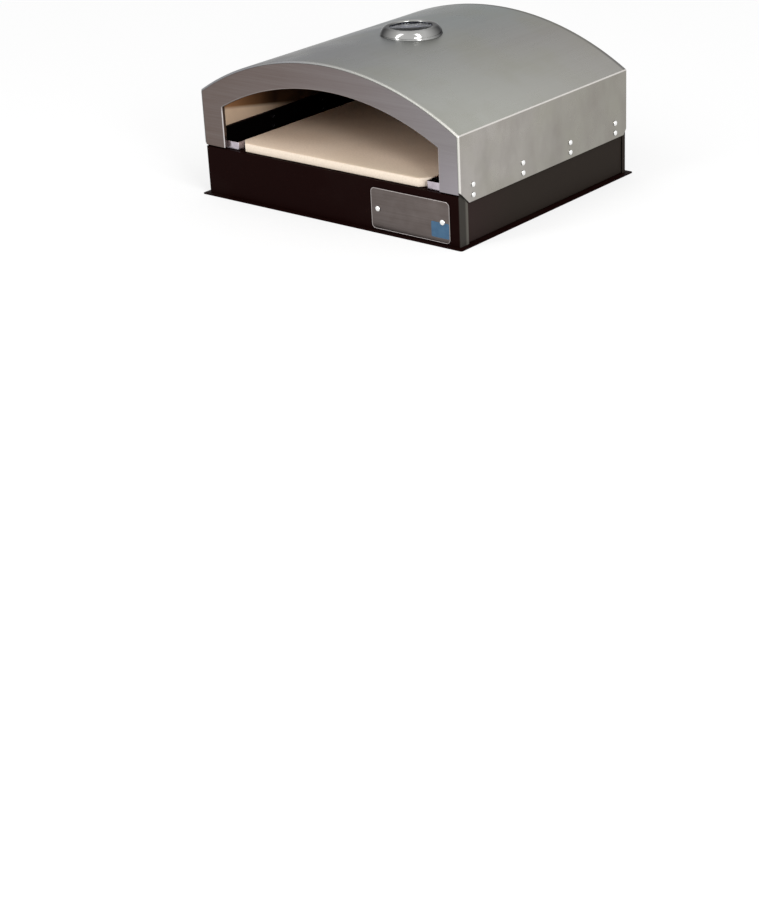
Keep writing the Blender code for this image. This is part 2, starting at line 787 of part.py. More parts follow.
def clip_screws():
    profile = [(0, -SCREW_LENGTH), (SCREW_SHANK, -SCREW_LENGTH), (SCREW_SHANK, 0)]
    bm = lathe(profile + domed(SCREW_HEAD, SCREW_HEAD_HEIGHT, HEAD_STEPS), SMALL_STEPS)
    first = make("stone_clip_screw_front_left", bm, bright_steel())
    for end, place in (("front", front_clip_screw()), ("rear", rear_clip_screw())):
        for side, sign in (("left", -1), ("right", 1)):
            name = f"stone_clip_screw_{end}_{side}"
            screw = first if name == first.name else add_object(name, first.data, bright_steel())
            screw.location = (sign * place.x, place.y, place.z + GAP)


def clip_screw_holes():
    places = []
    for place in (front_clip_screw(), rear_clip_screw()):
        places += [((sign * place.x, place.y, place.z), (0, 0, 1)) for sign in (-1, 1)]
    return cutter("clip_screw_holes", bars(places, SCREW_SHANK + HOLE_CLEARANCE, OVERRUN, SMALL_STEPS))


# Bare plate on the front wall
def nameplate_centre():
    x = HALF_WIDTH - NAMEPLATE_RIGHT - NAMEPLATE_WIDTH / 2
    return Vector((x, -FACE - GAP, BASE_FOOT + NAMEPLATE_LIFT + NAMEPLATE_HEIGHT / 2))


def nameplate_rivet_xs():
    reach = NAMEPLATE_WIDTH / 2 - NAMEPLATE_RIVET_INSET
    return (nameplate_centre().x - reach, nameplate_centre().x + reach)


def nameplate_holes():
    centre = nameplate_centre()
    places = [((x, centre.y, centre.z), (0, 1, 0)) for x in nameplate_rivet_xs()]
    return cutter("nameplate_holes", bars(places, RIVET_SHANK + HOLE_CLEARANCE, OVERRUN, SMALL_STEPS))


def nameplate(holes):
    centre = nameplate_centre()
    outline = rounded_rectangle(NAMEPLATE_WIDTH, NAMEPLATE_HEIGHT, NAMEPLATE_CORNER, 2 * BEND_STEPS)
    outline = [(centre.x + u, centre.z + v) for u, v in outline]
    bm = prism(outline, centre.y - NAMEPLATE_SHEET, centre.y, across_y)
    cut(make("nameplate", bm, finish("plate_metal", (0.13, 0.10, 0.09), 0.4, 1)), holes)
    stack = GAP + NAMEPLATE_SHEET + GAP + PLATE + GAP
    mesh = rivet_mesh("nameplate_rivet", NAMEPLATE_RIVET_HEAD, NAMEPLATE_RIVET_HEIGHT, stack)
    for side, x in zip(("left", "right"), nameplate_rivet_xs()):
        rivet = add_object(f"nameplate_rivet_{side}", mesh, bright_steel())
        rivet.location = (x, centre.y - NAMEPLATE_SHEET - GAP, centre.z)
        rivet.rotation_euler = (math.pi / 2, 0, 0)


# Thermometer
def gauge_ring(name, bore, radius, low, high, steps, look):
    profile = [(bore, low), (radius, low), (radius, high), (bore, high)]
    make(name, lathe(profile, steps, ring=True), look)


def gauge_case():
    ledge_bore = CASE_RIM_BORE - CASE_LEDGE_WIDTH
    profile = [
        (NECK_BORE, NECK_END),
        (NECK_RADIUS, NECK_END),
        (NECK_RADIUS, GAUGE_SEAT),
        (CASE_RADIUS, GAUGE_SEAT),
        (CASE_RADIUS, CASE_RIM_TOP),
        (CASE_RIM_BORE, CASE_RIM_TOP),
        (CASE_RIM_BORE, DIAL_BOTTOM - GAP),
        (ledge_bore, DIAL_BOTTOM - GAP),
        (ledge_bore, CASE_FLOOR_TOP),
        (NECK_BORE, CASE_FLOOR_TOP),
    ]
    make("gauge_case", lathe(profile, ROUND_STEPS, ring=True), bright_steel())


def gauge_bezel():
    round_x = GAUGE_RADIUS - BEZEL_ROUND
    round_z = BEZEL_TOP - BEZEL_ROUND
    outer = [(GAUGE_RADIUS, BEZEL_BOTTOM)]
    inner = [(GAUGE_RADIUS - BEZEL_WALL, BEZEL_BOTTOM)]
    for step in range(BEZEL_STEPS + 1):
        angle = math.pi / 2 * step / BEZEL_STEPS
        for points, radius in ((outer, BEZEL_ROUND), (inner, BEZEL_ROUND - BEZEL_WALL)):
            points.append((round_x + radius * math.cos(angle), round_z + radius * math.sin(angle)))
    lip = [
        (WINDOW_RADIUS + BEZEL_WALL, BEZEL_TOP),
        (WINDOW_RADIUS + BEZEL_WALL / 4, BEZEL_TOP - BEZEL_WALL / 4),
        (WINDOW_RADIUS, BEZEL_TOP - BEZEL_WALL),
    ]
    make("gauge_bezel", lathe(outer + lip + inner[::-1], ROUND_STEPS, ring=True), chrome())


def gauge_window():
    profile = [(0, LENS_BOTTOM), (LENS_RADIUS, LENS_BOTTOM), (LENS_RADIUS, LENS_TOP), (0, LENS_TOP)]
    make("gauge_lens", lathe(profile, ROUND_STEPS), finish("glass", (0.55, 0.57, 0.60), 0.05, 0))
    seal = finish("seal", (0.03, 0.03, 0.03), 0.7, 0)
    bore = LENS_RADIUS - GASKET_WIDTH
    gauge_ring("gauge_gasket", bore, LENS_RADIUS, GASKET_BOTTOM, GASKET_TOP, ROUND_STEPS, seal)


def gauge_dial():
    paint = finish("dial_face", (0.08, 0.08, 0.09), 0.5, 0)
    top = DIAL_BOTTOM + DIAL_SHEET
    gauge_ring("gauge_dial", DIAL_BORE, CASE_RIM_BORE - GAP, DIAL_BOTTOM, top, ROUND_STEPS, paint)


def gauge_stem():
    flange_top = STEM_FLANGE_BOTTOM + STEM_FLANGE_HEIGHT
    profile = [
        (0, STEM_TIP),
        (STEM_BORE, STEM_TIP),
        (STEM_RADIUS, STEM_TIP + STEM_WALL),
        (STEM_RADIUS, STEM_FLANGE_BOTTOM),
        (STEM_FLANGE, STEM_FLANGE_BOTTOM),
        (STEM_FLANGE, flange_top),
        (STEM_BORE, flange_top),
        (STEM_BORE, STEM_FLOOR),
        (0, STEM_FLOOR),
    ]
    make("gauge_stem", lathe(profile, 2 * SMALL_STEPS), bright_steel())
    bush_low = STEM_FLANGE_BOTTOM - BUSH_LENGTH
    bush_bore = SPINDLE_RADIUS + GAP
    gauge_ring("gauge_bush", bush_bore, STEM_BORE - GAP, bush_low, STEM_FLANGE_BOTTOM, SMALL_STEPS, brass())


# The strip that twists with the heat, wound as one helix inside the stem
def bimetal_coil():
    outer = STEM_BORE - GAP
    inner = outer - COIL_STRIP
    section = ((outer, 0), (outer, COIL_STRIP_WIDTH), (inner, COIL_STRIP_WIDTH), (inner, 0))
    bm = bmesh.new()
    rows = []
    for step in range(COIL_TURNS * COIL_STEPS + 1):
        angle = math.tau * step / COIL_STEPS
        height = COIL_BOTTOM + COIL_PITCH * step / COIL_STEPS
        points = [(r * math.cos(angle), r * math.sin(angle), height + z) for r, z in section]
        rows.append([bm.verts.new(point) for point in points])
    for row, following in zip(rows, rows[1:]):
        for i in range(len(section)):
            bm.faces.new((row[i], row[i - 1], following[i - 1], following[i]))
    for row in (rows[0], rows[-1]):
        bm.faces.new(row)
    make("gauge_bimetal_coil", bm, finish("bimetal", (0.55, 0.45, 0.32), 0.35, 1))


def gauge_spindle():
    collar_bottom = COIL_TOP + GAP
    collar_top = collar_bottom + SPINDLE_COLLAR_HEIGHT
    shoulder_top = NEEDLE_BOTTOM - GAP
    shoulder_bottom = shoulder_top - SPINDLE_SHOULDER_HEIGHT
    cap_bottom = NEEDLE_TOP + GAP
    cap_top = cap_bottom + SPINDLE_CAP_HEIGHT
    collar_radius = STEM_BORE - GAP
    profile = [
        (0, collar_bottom),
        (collar_radius, collar_bottom),
        (collar_radius, collar_top),
        (SPINDLE_RADIUS, collar_top),
        (SPINDLE_RADIUS, shoulder_bottom),
        (SPINDLE_SHOULDER, shoulder_bottom),
        (SPINDLE_SHOULDER, shoulder_top),
        (SPINDLE_NECK, shoulder_top),
        (SPINDLE_NECK, cap_bottom),
        (SPINDLE_CAP, cap_bottom),
        (SPINDLE_CAP, cap_top),
        (0, cap_top),
    ]
    make("gauge_spindle", lathe(profile, SMALL_STEPS), brass())


# The needle lies along +X from its hub, then turns to where it rests
def gauge_needle():
    half = NEEDLE_WIDTH / 2
    start = math.asin(half / NEEDLE_HUB)
    outline = [(NEEDLE_LENGTH, -NEEDLE_TIP_WIDTH / 2), (NEEDLE_LENGTH, NEEDLE_TIP_WIDTH / 2)]
    for first, last in ((start, math.pi - start), (math.pi + start, math.tau - start)):
        for step in range(SMALL_STEPS // 2 + 1):
            angle = first + (last - first) * step * 2 / SMALL_STEPS
            outline.append((NEEDLE_HUB * math.cos(angle), NEEDLE_HUB * math.sin(angle)))
        if first == start:
            outline += [(-NEEDLE_TAIL, half), (-NEEDLE_TAIL, -half)]
    pointer = finish("pointer", (0.5, 0.03, 0.02), 0.4, 0)
    needle = make("gauge_needle", prism(outline, 0, NEEDLE_SHEET, upright), pointer)
    needle.location = (0, 0, NEEDLE_BOTTOM)
    needle.rotation_euler = (0, 0, NEEDLE_REST_ANGLE)
    hole = bars([((0, 0, NEEDLE_BOTTOM), (0, 0, 1))], SPINDLE_NECK + GAP, OVERRUN, SMALL_STEPS)
    cut(needle, cutter("needle_bore", hole))


# What clamps the thermometer to the two skins of the crown
def gauge_clamp():
    steps = 2 * SMALL_STEPS
    spacer_radius = NECK_HOLE + SPACER_WALL
    low = DOME.height(0, LINER_INSET) + GAP
    high = DOME.height(spacer_radius, SHEET) - GAP
    gauge_ring("gauge_spacer", NECK_HOLE, spacer_radius, low, high, steps, bright_steel())
    gauge_ring("gauge_washer", NUT_BORE, WASHER_RADIUS, WASHER_BOTTOM, WASHER_TOP, steps, bright_steel())
    corner = NUT_FLATS / math.sqrt(3)
    outline = [(corner * math.cos(math.tau * i / 6), corner * math.sin(math.tau * i / 6)) for i in range(6)]
    blank = prism(outline, NUT_TOP - NUT_HEIGHT, NUT_TOP, upright)
    nut = make("gauge_nut", blank, bright_steel(), smooth=False)
    hole = bars([((0, 0, NUT_TOP), (0, 0, 1))], NUT_BORE, 2 * (NUT_HEIGHT + OVERRUN), steps)
    cut(nut, cutter("nut_bore", hole))


def thermometer():
    gauge_case()
    gauge_bezel()
    gauge_window()
    gauge_dial()
    gauge_stem()
    bimetal_coil()
    gauge_spindle()
    gauge_needle()
    gauge_clamp()


def clear_scene():
    for obj in list(bpy.data.objects):
        bpy.data.objects.remove(obj)


def build():
    clear_scene()
    rivet_holes = side_rivet_holes()
    screw_holes = clip_screw_holes()
    plate_holes = nameplate_holes()
    neck = bars([((0, 0, CROWN_HEIGHT), (0, 0, 1))], NECK_HOLE, 2 * (LINER_INSET + OVERRUN), 2 * SMALL_STEPS)
    neck_hole = cutter("neck_hole", neck)

    bottom_plate()
    front_sizes = (FRONT_WALL_TOP, FRONT_TAB, FRONT_CLIP_DEPTH, FRONT_CLIP_HEIGHT)
    back_sizes = (BACK_WALL_TOP, BACK_TAB, BACK_CLIP_DEPTH, BACK_CLIP_HEIGHT)
    end_wall("base_front_wall", *front_sizes, turned=False, cutters=(screw_holes, plate_holes))
    end_wall("base_back_wall", *back_sizes, turned=True, cutters=())
    side_wall("base_left_wall", -1, rivet_holes)
    side_wall("base_right_wall", 1, rivet_holes)
    heat_diffuser()

    outer_dome(rivet_holes, neck_hole)
    front_panel()
    back_panel()
    inner_liner(neck_hole)
    liner_back_panel()
    side_rivets()

    pizza_stone()
    stone_rear_rail(screw_holes)
    for side, sign in (("left", -1), ("right", 1)):
        front_clip(f"stone_clip_front_{side}", sign, screw_holes)
        rear_clip(f"stone_clip_rear_{side}", sign, screw_holes)
    clip_screws()

    nameplate(plate_holes)
    thermometer()


build()
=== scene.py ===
import math

import bmesh
import bpy
from mathutils import Matrix, Vector, noise


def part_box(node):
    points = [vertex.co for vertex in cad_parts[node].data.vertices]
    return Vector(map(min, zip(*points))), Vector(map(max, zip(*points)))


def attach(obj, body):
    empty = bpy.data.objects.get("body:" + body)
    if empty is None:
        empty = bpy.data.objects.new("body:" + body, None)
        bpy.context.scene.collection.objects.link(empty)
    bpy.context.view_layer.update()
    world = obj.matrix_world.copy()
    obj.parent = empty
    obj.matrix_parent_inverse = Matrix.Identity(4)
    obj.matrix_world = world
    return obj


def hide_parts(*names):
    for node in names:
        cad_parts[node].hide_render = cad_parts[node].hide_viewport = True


# Arched pizza oven: brushed shell over a black base, a stone on clips, a thermometer on the crown.
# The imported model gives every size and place, in metres, with the mouth towards -Y.
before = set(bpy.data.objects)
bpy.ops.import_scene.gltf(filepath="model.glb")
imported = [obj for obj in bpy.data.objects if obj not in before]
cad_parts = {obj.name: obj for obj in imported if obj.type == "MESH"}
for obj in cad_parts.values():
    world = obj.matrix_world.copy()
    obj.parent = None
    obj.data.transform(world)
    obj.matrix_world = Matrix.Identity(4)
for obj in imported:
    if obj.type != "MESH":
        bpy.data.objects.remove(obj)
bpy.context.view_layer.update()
scene = bpy.context.scene
scene.view_settings.view_transform = "Standard"

shellLow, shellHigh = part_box("outer_dome")
halfWidth = shellHigh.x
faceY = shellLow.y
crownZ = shellHigh.z
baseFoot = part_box("base_front_wall")[0].z
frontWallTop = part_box("base_front_wall")[1].z
print("frame loaded,", len(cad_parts), "nodes")

# Camera

cameraSetup = {
    "place": (1.59872, -1.92517, 0.78696),
    "turn": (1.13605, 0.04883, 0.69719),
    "lens": 81.27,
    "sensor": 36,
}


def addCamera():
    data = bpy.data.cameras.new("camera")
    data.lens = cameraSetup["lens"]
    data.sensor_width = cameraSetup["sensor"]
    camera = bpy.data.objects.new("camera", data)
    camera.location = cameraSetup["place"]
    camera.rotation_euler = cameraSetup["turn"]
    scene.collection.objects.link(camera)
    scene.camera = camera


addCamera()

# Shader nodes


def feed(tree, target, source):
    if isinstance(source, bpy.types.NodeSocket):
        tree.links.new(source, target)
    else:
        target.default_value = source


def feedAll(tree, node, feeds):
    for name, source in feeds.items():
        feed(tree, node.inputs[name], source)


def addNode(tree, kind, feeds=None, **settings):
    made = tree.nodes.new(kind)
    column, row = divmod(len(tree.nodes), 5)
    made.location = (190 * column - 1100, 420 - 190 * row)
    for name, value in settings.items():
        setattr(made, name, value)
    feedAll(tree, made, feeds or {})
    return made


def calc(tree, operation, a, b=0.0):
    return addNode(tree, "ShaderNodeMath", {0: a, 1: b}, operation=operation).outputs[0]


def times(tree, a, b):
    return calc(tree, "MULTIPLY", a, b)


def plus(tree, a, b):
    return calc(tree, "ADD", a, b)


def mix(tree, amount, a, b):
    return addNode(tree, "ShaderNodeMix", {0: amount, 6: a, 7: b}, data_type="RGBA").outputs[2]


# Like mix, for plain values.
def weigh(tree, amount, a, b):
    return plus(tree, times(tree, a, calc(tree, "SUBTRACT", 1.0, amount)), times(tree, amount, b))


def ramp(tree, value, low, high, newLow=0.0, newHigh=1.0):
    feeds = {"Value": value, "From Min": low, "From Max": high, "To Min": newLow, "To Max": newHigh}
    return addNode(tree, "ShaderNodeMapRange", feeds).outputs[0]


def between(tree, amount, low, high):
    return ramp(tree, amount, 0.0, 1.0, low, high)


def blend(tree, value, span, a, b):
    return mix(tree, ramp(tree, value, *span), a, b)


def partsOf(tree, vector):
    return addNode(tree, "ShaderNodeSeparateXYZ", {0: vector}).outputs


def objectPoint(tree):
    return addNode(tree, "ShaderNodeTexCoord").outputs["Object"]


def stretchPoint(tree, stretch):
    feeds = {0: objectPoint(tree), 1: stretch}
    return addNode(tree, "ShaderNodeVectorMath", feeds, operation="MULTIPLY").outputs[0]


def axisDistance(tree):
    flat = stretchPoint(tree, (1, 1, 0))
    return addNode(tree, "ShaderNodeVectorMath", {0: flat}, operation="LENGTH").outputs["Value"]


def noiseValue(tree, point, scale, detail, roughness=0.55):
    feeds = {"Vector": point, "Scale": scale, "Detail": detail, "Roughness": roughness}
    return addNode(tree, "ShaderNodeTexNoise", feeds).outputs["Fac"]


def bumpNormal(tree, height, strength, distance):
    feeds = {"Height": height, "Strength": strength, "Distance": distance}
    return addNode(tree, "ShaderNodeBump", feeds).outputs[0]


def newMaterial(name):
    made = bpy.data.materials.new(name)
    made.use_nodes = True
    return made, made.node_tree, made.node_tree.nodes["Principled BSDF"]


# Effects that several finishes share

socketKinds = {"value": "NodeSocketFloat", "colour": "NodeSocketColor", "vector": "NodeSocketVector"}


def startGroup(name, inputs, outputs):
    tree = bpy.data.node_groups.new(name, "ShaderNodeTree")
    for label, kind, value in inputs:
        socket = tree.interface.new_socket(name=label, in_out="INPUT", socket_type=socketKinds[kind])
        socket.default_value = value
    for label, kind in outputs:
        tree.interface.new_socket(name=label, in_out="OUTPUT", socket_type=socketKinds[kind])
    return tree, tree.nodes.new("NodeGroupInput").outputs, tree.nodes.new("NodeGroupOutput").inputs


def useGroup(tree, group, feeds=None):
    made = addNode(tree, "ShaderNodeGroup", node_tree=group)
    feedAll(tree, made, feeds or {})
    return made.outputs


def makeGrainGroup():
    # fine brushed lines; Stretch is small along the lines and large across them
    inputs = [("Stretch", "vector", (20, 900, 900))]
    tree, given, result = startGroup("brushedGrain", inputs, [("Streaks", "value"), ("Height", "value")])
    point = stretchPoint(tree, given["Stretch"])
    fine = noiseValue(tree, point, 1.0, 4.0, 0.65)
    broad = noiseValue(tree, point, 0.22, 2.0)
    streaks = plus(tree, times(tree, fine, 0.6), times(tree, broad, 0.4))
    feed(tree, result["Streaks"], ramp(tree, streaks, 0.36, 0.64))
    feed(tree, result["Height"], streaks)
    return tree


def makeCloudGroup():
    # soft cloudy patches, for heat tint, smears and dust
    inputs = [("Size", "value", 0.1), ("Low", "value", 0.4), ("High", "value", 0.6)]
    tree, given, result = startGroup("cloudPatches", inputs, [("Patches", "value")])
    scale = calc(tree, "DIVIDE", 1.0, given["Size"])
    cloud = noiseValue(tree, objectPoint(tree), scale, 4.0, 0.5)
    feed(tree, result["Patches"], ramp(tree, cloud, given["Low"], given["High"]))
    return tree


def makeFoldGroup():
    # painted highlight where the sheet was folded: a mark stored on the mesh, broken up a little
    inputs = [("Breakup", "value", 0.3)]
    tree, given, result = startGroup("paintedFoldHighlight", inputs, [("Highlight", "value")])
    mark = addNode(tree, "ShaderNodeAttribute", attribute_name="fold").outputs["Fac"]
    rough = noiseValue(tree, objectPoint(tree), 160.0, 3.0)
    worn = calc(tree, "SUBTRACT", 1.0, times(tree, rough, given["Breakup"]))
    feed(tree, result["Highlight"], times(tree, mark, worn))
    return tree


def makeSpeckGroup():
    # small scattered specks and pits
    inputs = [("Size", "value", 0.002), ("Cover", "value", 0.2)]
    tree, given, result = startGroup("scatteredSpecks", inputs, [("Specks", "value")])
    scale = calc(tree, "DIVIDE", 1.0, given["Size"])
    feeds = {"Vector": objectPoint(tree), "Scale": scale}
    near = addNode(tree, "ShaderNodeTexVoronoi", feeds).outputs["Distance"]
    feed(tree, result["Specks"], ramp(tree, near, given["Cover"], 0.0))
    return tree


def makeFacingGroup():
    # how much a surface faces left or right, how much up, and whether it is on the outside
    outputs = [("Sideways", "value"), ("Upwards", "value"), ("Outwards", "value")]
    tree, _, result = startGroup("facing", [], outputs)
    facing = addNode(tree, "ShaderNodeTexCoord").outputs["Normal"]
    parts = partsOf(tree, facing)
    feed(tree, result["Sideways"], calc(tree, "ABSOLUTE", parts["X"]))
    feed(tree, result["Upwards"], calc(tree, "MAXIMUM", parts["Z"], 0.0))
    feeds = {0: facing, 1: objectPoint(tree)}
    away = addNode(tree, "ShaderNodeVectorMath", feeds, operation="DOT_PRODUCT").outputs["Value"]
    feed(tree, result["Outwards"], ramp(tree, away, -0.05, 0.0))
    return tree


def makePlaceGroup():
    # where a point lies on the object, as shares from left to right, front to back and foot to crown
    outputs = [("Across", "value"), ("Back", "value"), ("Up", "value")]
    tree, _, result = startGroup("placeOnOven", [], outputs)
    parts = partsOf(tree, objectPoint(tree))
    feed(tree, result["Across"], ramp(tree, parts["X"], -halfWidth, halfWidth))
    feed(tree, result["Back"], ramp(tree, parts["Y"], faceY, -faceY))
    feed(tree, result["Up"], ramp(tree, parts["Z"], 0.0, crownZ))
    return tree


grainGroup = makeGrainGroup()
cloudGroup = makeCloudGroup()
foldHighlightGroup = makeFoldGroup()
speckGroup = makeSpeckGroup()
facingGroup = makeFacingGroup()
placeGroup = makePlaceGroup()
print("effects ready")


def brushed(tree, look):
    grain = useGroup(tree, grainGroup, {"Stretch": look["grain"]})
    return grain["Streaks"], bumpNormal(tree, grain["Height"], *look["grainDepth"])


def clouds(tree, size, low, high):
    return useGroup(tree, cloudGroup, {"Size": size, "Low": low, "High": high})["Patches"]


def foldMark(tree, breakup):
    return useGroup(tree, foldHighlightGroup, {"Breakup": breakup})["Highlight"]


def specks(tree, size, cover):
    return useGroup(tree, speckGroup, {"Size": size, "Cover": cover})["Specks"]


# Finishes

# A span says where a change starts and ends and, if two more numbers follow, how strong it is there.
# It runs over the oven's width, depth or height, over how far a face looks sideways or up, each from 0
# to 1, or over the strength of a pattern. Clouds, smears and patches have a size in metres, then the
# strengths at which they start and are full.
shellLook = {
    # painted light and shade on the top: darker at the crown and left, lighter to the right; over its back
    # lighter at the crown, darker to the right
    "crown": (0.244, 0.245, 0.258, 1),
    "right": (0.420, 0.424, 0.390, 1),
    "rightSpan": (0.30, 0.97),
    "farCrown": (0.343, 0.395, 0.390, 1),
    "farRight": (0.265, 0.240, 0.230, 1),
    "farRightSpan": (0.50, 0.76),
    "farSpan": (0.2, 1.0, 0.0, 0.55),
    # painted shade: a dark band along the rear edge of the top
    "rearEdge": (0.130, 0.126, 0.122, 1),
    "rearEdgeSpan": (0.976, 0.985, 0.0, 0.8),
    # painted light on the flanks: lighter than the crown, and lighter near the front than at the back
    "sideNear": (0.420, 0.394, 0.370, 1),
    "sideFar": (0.325, 0.312, 0.276, 1),
    "sideFarSpan": (0.0, 0.7),
    "sideSpan": (0.62, 0.9),
    # darker upright mottling over the flanks
    "flankMottle": (0.262, 0.240, 0.220, 1),
    "flankMottleStretch": (10, 22, 12),
    "flankMottleSpan": (0.42, 0.68, 0.0, 0.62),
    "warm": (0.31, 0.305, 0.24, 1),
    "warmClouds": (0.07, 0.44, 0.68),
    "warmAmount": 0.32,
    "streak": (0.50, 0.50, 0.50, 1),
    "streakAmount": 0.10,
    # painted highlight: the bends lighter, by the fold mark on the mesh
    "fold": (0.80, 0.77, 0.74, 1),
    "foldBreakup": 0.25,
    "foldRoughness": 0.52,
    "foldRoughSpan": (0.0, 0.05),
    "smears": (0.045, 0.35, 0.7),
    "roughness": (0.24, 0.36),
    "dullRing": (0.075, 0.042),  # outer and inner radius, round the thermometer
    "dullRoughness": 0.42,
    "grazing": (0.50, 0.50, 0.50, 1),
    "grain": (900, 14, 14),
    "grainDepth": (0.12, 0.00006),
}


def shellSteel():
    made, tree, shader = newMaterial("shellSteel")
    look = shellLook
    place = useGroup(tree, placeGroup)
    side = useGroup(tree, facingGroup)["Sideways"]
    # painted light and shade: the top's tones by place, a dark band at its rear edge, and lighter flanks near
    # the front
    top = blend(tree, place["Across"], look["rightSpan"], look["crown"], look["right"])
    far = blend(tree, place["Across"], look["farRightSpan"], look["farCrown"], look["farRight"])
    top = blend(tree, place["Back"], look["farSpan"], top, far)
    top = blend(tree, place["Back"], look["rearEdgeSpan"], top, look["rearEdge"])
    flank = blend(tree, place["Back"], look["sideFarSpan"], look["sideNear"], look["sideFar"])
    # darker upright mottling over the flanks
    mottled = noiseValue(tree, stretchPoint(tree, look["flankMottleStretch"]), 1.0, 3.5)
    flank = blend(tree, mottled, look["flankMottleSpan"], flank, look["flankMottle"])
    # the flanks take their painted light, chosen by how far a face looks sideways
    colour = blend(tree, side, look["sideSpan"], top, flank)
    tint = clouds(tree, *look["warmClouds"])
    colour = mix(tree, times(tree, tint, look["warmAmount"]), colour, look["warm"])
    streaks, normal = brushed(tree, look)
    colour = mix(tree, times(tree, streaks, look["streakAmount"]), colour, look["streak"])
    # painted highlight along the bends
    edge = foldMark(tree, look["foldBreakup"])
    rough = between(tree, clouds(tree, *look["smears"]), *look["roughness"])
    near = ramp(tree, axisDistance(tree), *look["dullRing"])
    rough = weigh(tree, near, rough, look["dullRoughness"])
    rough = weigh(tree, ramp(tree, edge, *look["foldRoughSpan"]), rough, look["foldRoughness"])
    feedAll(tree, shader, {
        "Base Color": mix(tree, edge, colour, look["fold"]),
        "Roughness": rough,
        "Normal": normal,
        "Metallic": 1,
        "Specular Tint": look["grazing"],
    })
    return made


faceLook = {
    # painted reflection: darker and warmer at the left, lighter to the right
    "left": (0.132, 0.097, 0.084, 1),
    "right": (0.250, 0.232, 0.240, 1),
    "acrossPower": 1.5,
    "clouds": (0.09, 0.3, 0.7),
    "cloudShare": 0.1,
    # painted light low down at the right of the panel
    "foot": (0.315, 0.288, 0.312, 1),
    "paintedLightFootSpan": (0.62, 0.36),
    "paintedLightRightSpan": (0.8, 1.0),
    "streak": (0.50, 0.50, 0.50, 1),
    "streakAmount": 0.08,
    # painted highlight on the mouth's rolled edge, weaker over the top of the arch
    "fold": (0.74, 0.70, 0.70, 1),
    "foldBreakup": 0.3,
    "foldHighlightSpan": (0.61, 0.57, 0.3, 1.0),
    "roughness": (0.26, 0.40),
    "grain": (14, 14, 900),
    "grainDepth": (0.12, 0.00006),
}


def faceSteel():
    made, tree, shader = newMaterial("faceSteel")
    look = faceLook
    place = useGroup(tree, placeGroup)
    cloud = clouds(tree, *look["clouds"])
    # painted reflection from left to right, broken a little by cloudy patches
    across = calc(tree, "POWER", place["Across"], look["acrossPower"])
    share = look["cloudShare"]
    amount = plus(tree, times(tree, across, 1 - share), times(tree, cloud, share))
    colour = mix(tree, amount, look["left"], look["right"])
    # painted light low down at the right
    low = ramp(tree, place["Up"], *look["paintedLightFootSpan"])
    glow = times(tree, low, ramp(tree, place["Across"], *look["paintedLightRightSpan"]))
    colour = mix(tree, glow, colour, look["foot"])
    streaks, normal = brushed(tree, look)
    colour = mix(tree, times(tree, streaks, look["streakAmount"]), colour, look["streak"])
    # painted highlight on the mouth's rolled edge
    edge = times(tree, foldMark(tree, look["foldBreakup"]), ramp(tree, place["Up"], *look["foldHighlightSpan"]))
    feedAll(tree, shader, {
        "Base Color": mix(tree, edge, colour, look["fold"]),
        "Roughness": between(tree, cloud, *look["roughness"]),
        "Normal": normal,
        "Metallic": 1,
    })
    return made


linerLook = {
    # painted light on the lower wall near the mouth
    "paintedWallLight": (0.99, 0.77, 0.565, 1),
    "paintedWallLightSpan": (0.26, 0.5),
    # brown painted reflection above the edge of the painted light
    "tint": (0.43, 0.215, 0.10, 1),
    "tintSpan": (0.10, 0.35),
    # painted shade deep in the chamber
    "chamberShade": (0.012, 0.006, 0.004, 1),
    "line": (0.572, 0.304),  # upper edge of the painted light: its height at the mouth, and how far it falls to the back
    "lightEdgeBlur": 0.012,
    "clouds": (0.03, 0.2, 0.8),
    "cloudAmount": 0.25,
    "roughness": (0.3, 0.42),
    "metallic": 0.25,
    "specular": 0.2,
    "grain": (14, 900, 14),
    "grainDepth": (0.1, 0.00005),
}


# Painted light low on the wall near the mouth, up to a line that falls towards the back; above it a brown
# painted reflection; both go over to painted shade towards the back.
def linerSteel():
    made, tree, shader = newMaterial("linerSteel")
    look = linerLook
    place = useGroup(tree, placeGroup)
    cloud = clouds(tree, *look["clouds"])
    height, fall = look["line"]
    level = plus(tree, place["Up"], times(tree, place["Back"], fall))
    above = (height - look["lightEdgeBlur"], height + look["lightEdgeBlur"])
    # brown painted reflection above the line, going over to painted shade towards the back
    tint = blend(tree, place["Back"], look["tintSpan"], look["tint"], look["chamberShade"])
    low = blend(tree, place["Back"], look["paintedWallLightSpan"], look["paintedWallLight"], look["chamberShade"])
    colour = blend(tree, level, above, low, tint)
    _, normal = brushed(tree, look)
    feedAll(tree, shader, {
        "Base Color": mix(tree, times(tree, cloud, look["cloudAmount"]), colour, look["tint"]),
        "Roughness": between(tree, cloud, *look["roughness"]),
        "Normal": normal,
        "Metallic": look["metallic"],
        "Specular IOR Level": look["specular"],
    })
    return made


paintLook = {
    # painted light: the front darker than the sides, the sides lighter near the front
    "front": (0.0072, 0.0020, 0.0017, 1),
    "side": (0.0215, 0.0170, 0.0140, 1),
    "sideNear": (0.0245, 0.0165, 0.0150, 1),
    "sideSpan": (0.06, 0.32),
    # painted shade on the inner faces
    "inside": (0.0020, 0.0014, 0.0013, 1),
    # painted light on the corner tab, with a lighter painted highlight along its ridge
    "tab": (0.037, 0.034, 0.030, 1),
    "ridgeHighlight": (0.085, 0.080, 0.070, 1),
    "ridgeHighlightSpan": (0.030, 0.037),
    "wallSpan": (0.0462, 0.0472),
    "sidewaysSpan": (0.3, 0.8),
    "outmostSpan": (0.4975, 0.4965),
    "dust": (0.050, 0.042, 0.036, 1),
    "dustClouds": (0.07, 0.5, 0.8),
    "specks": (0.0012, 0.35),
    "film": (0.04, 0.10),
    "foldBreakup": 0.3,
    # the dust colour also serves as a painted highlight on the folds
    "foldHighlightAmount": 0.5,
    "roughness": (0.42, 0.58),
    "texture": (1400.0, 2.0),
    "textureDepth": (0.10, 0.00004),
    "specular": 0.012,
}


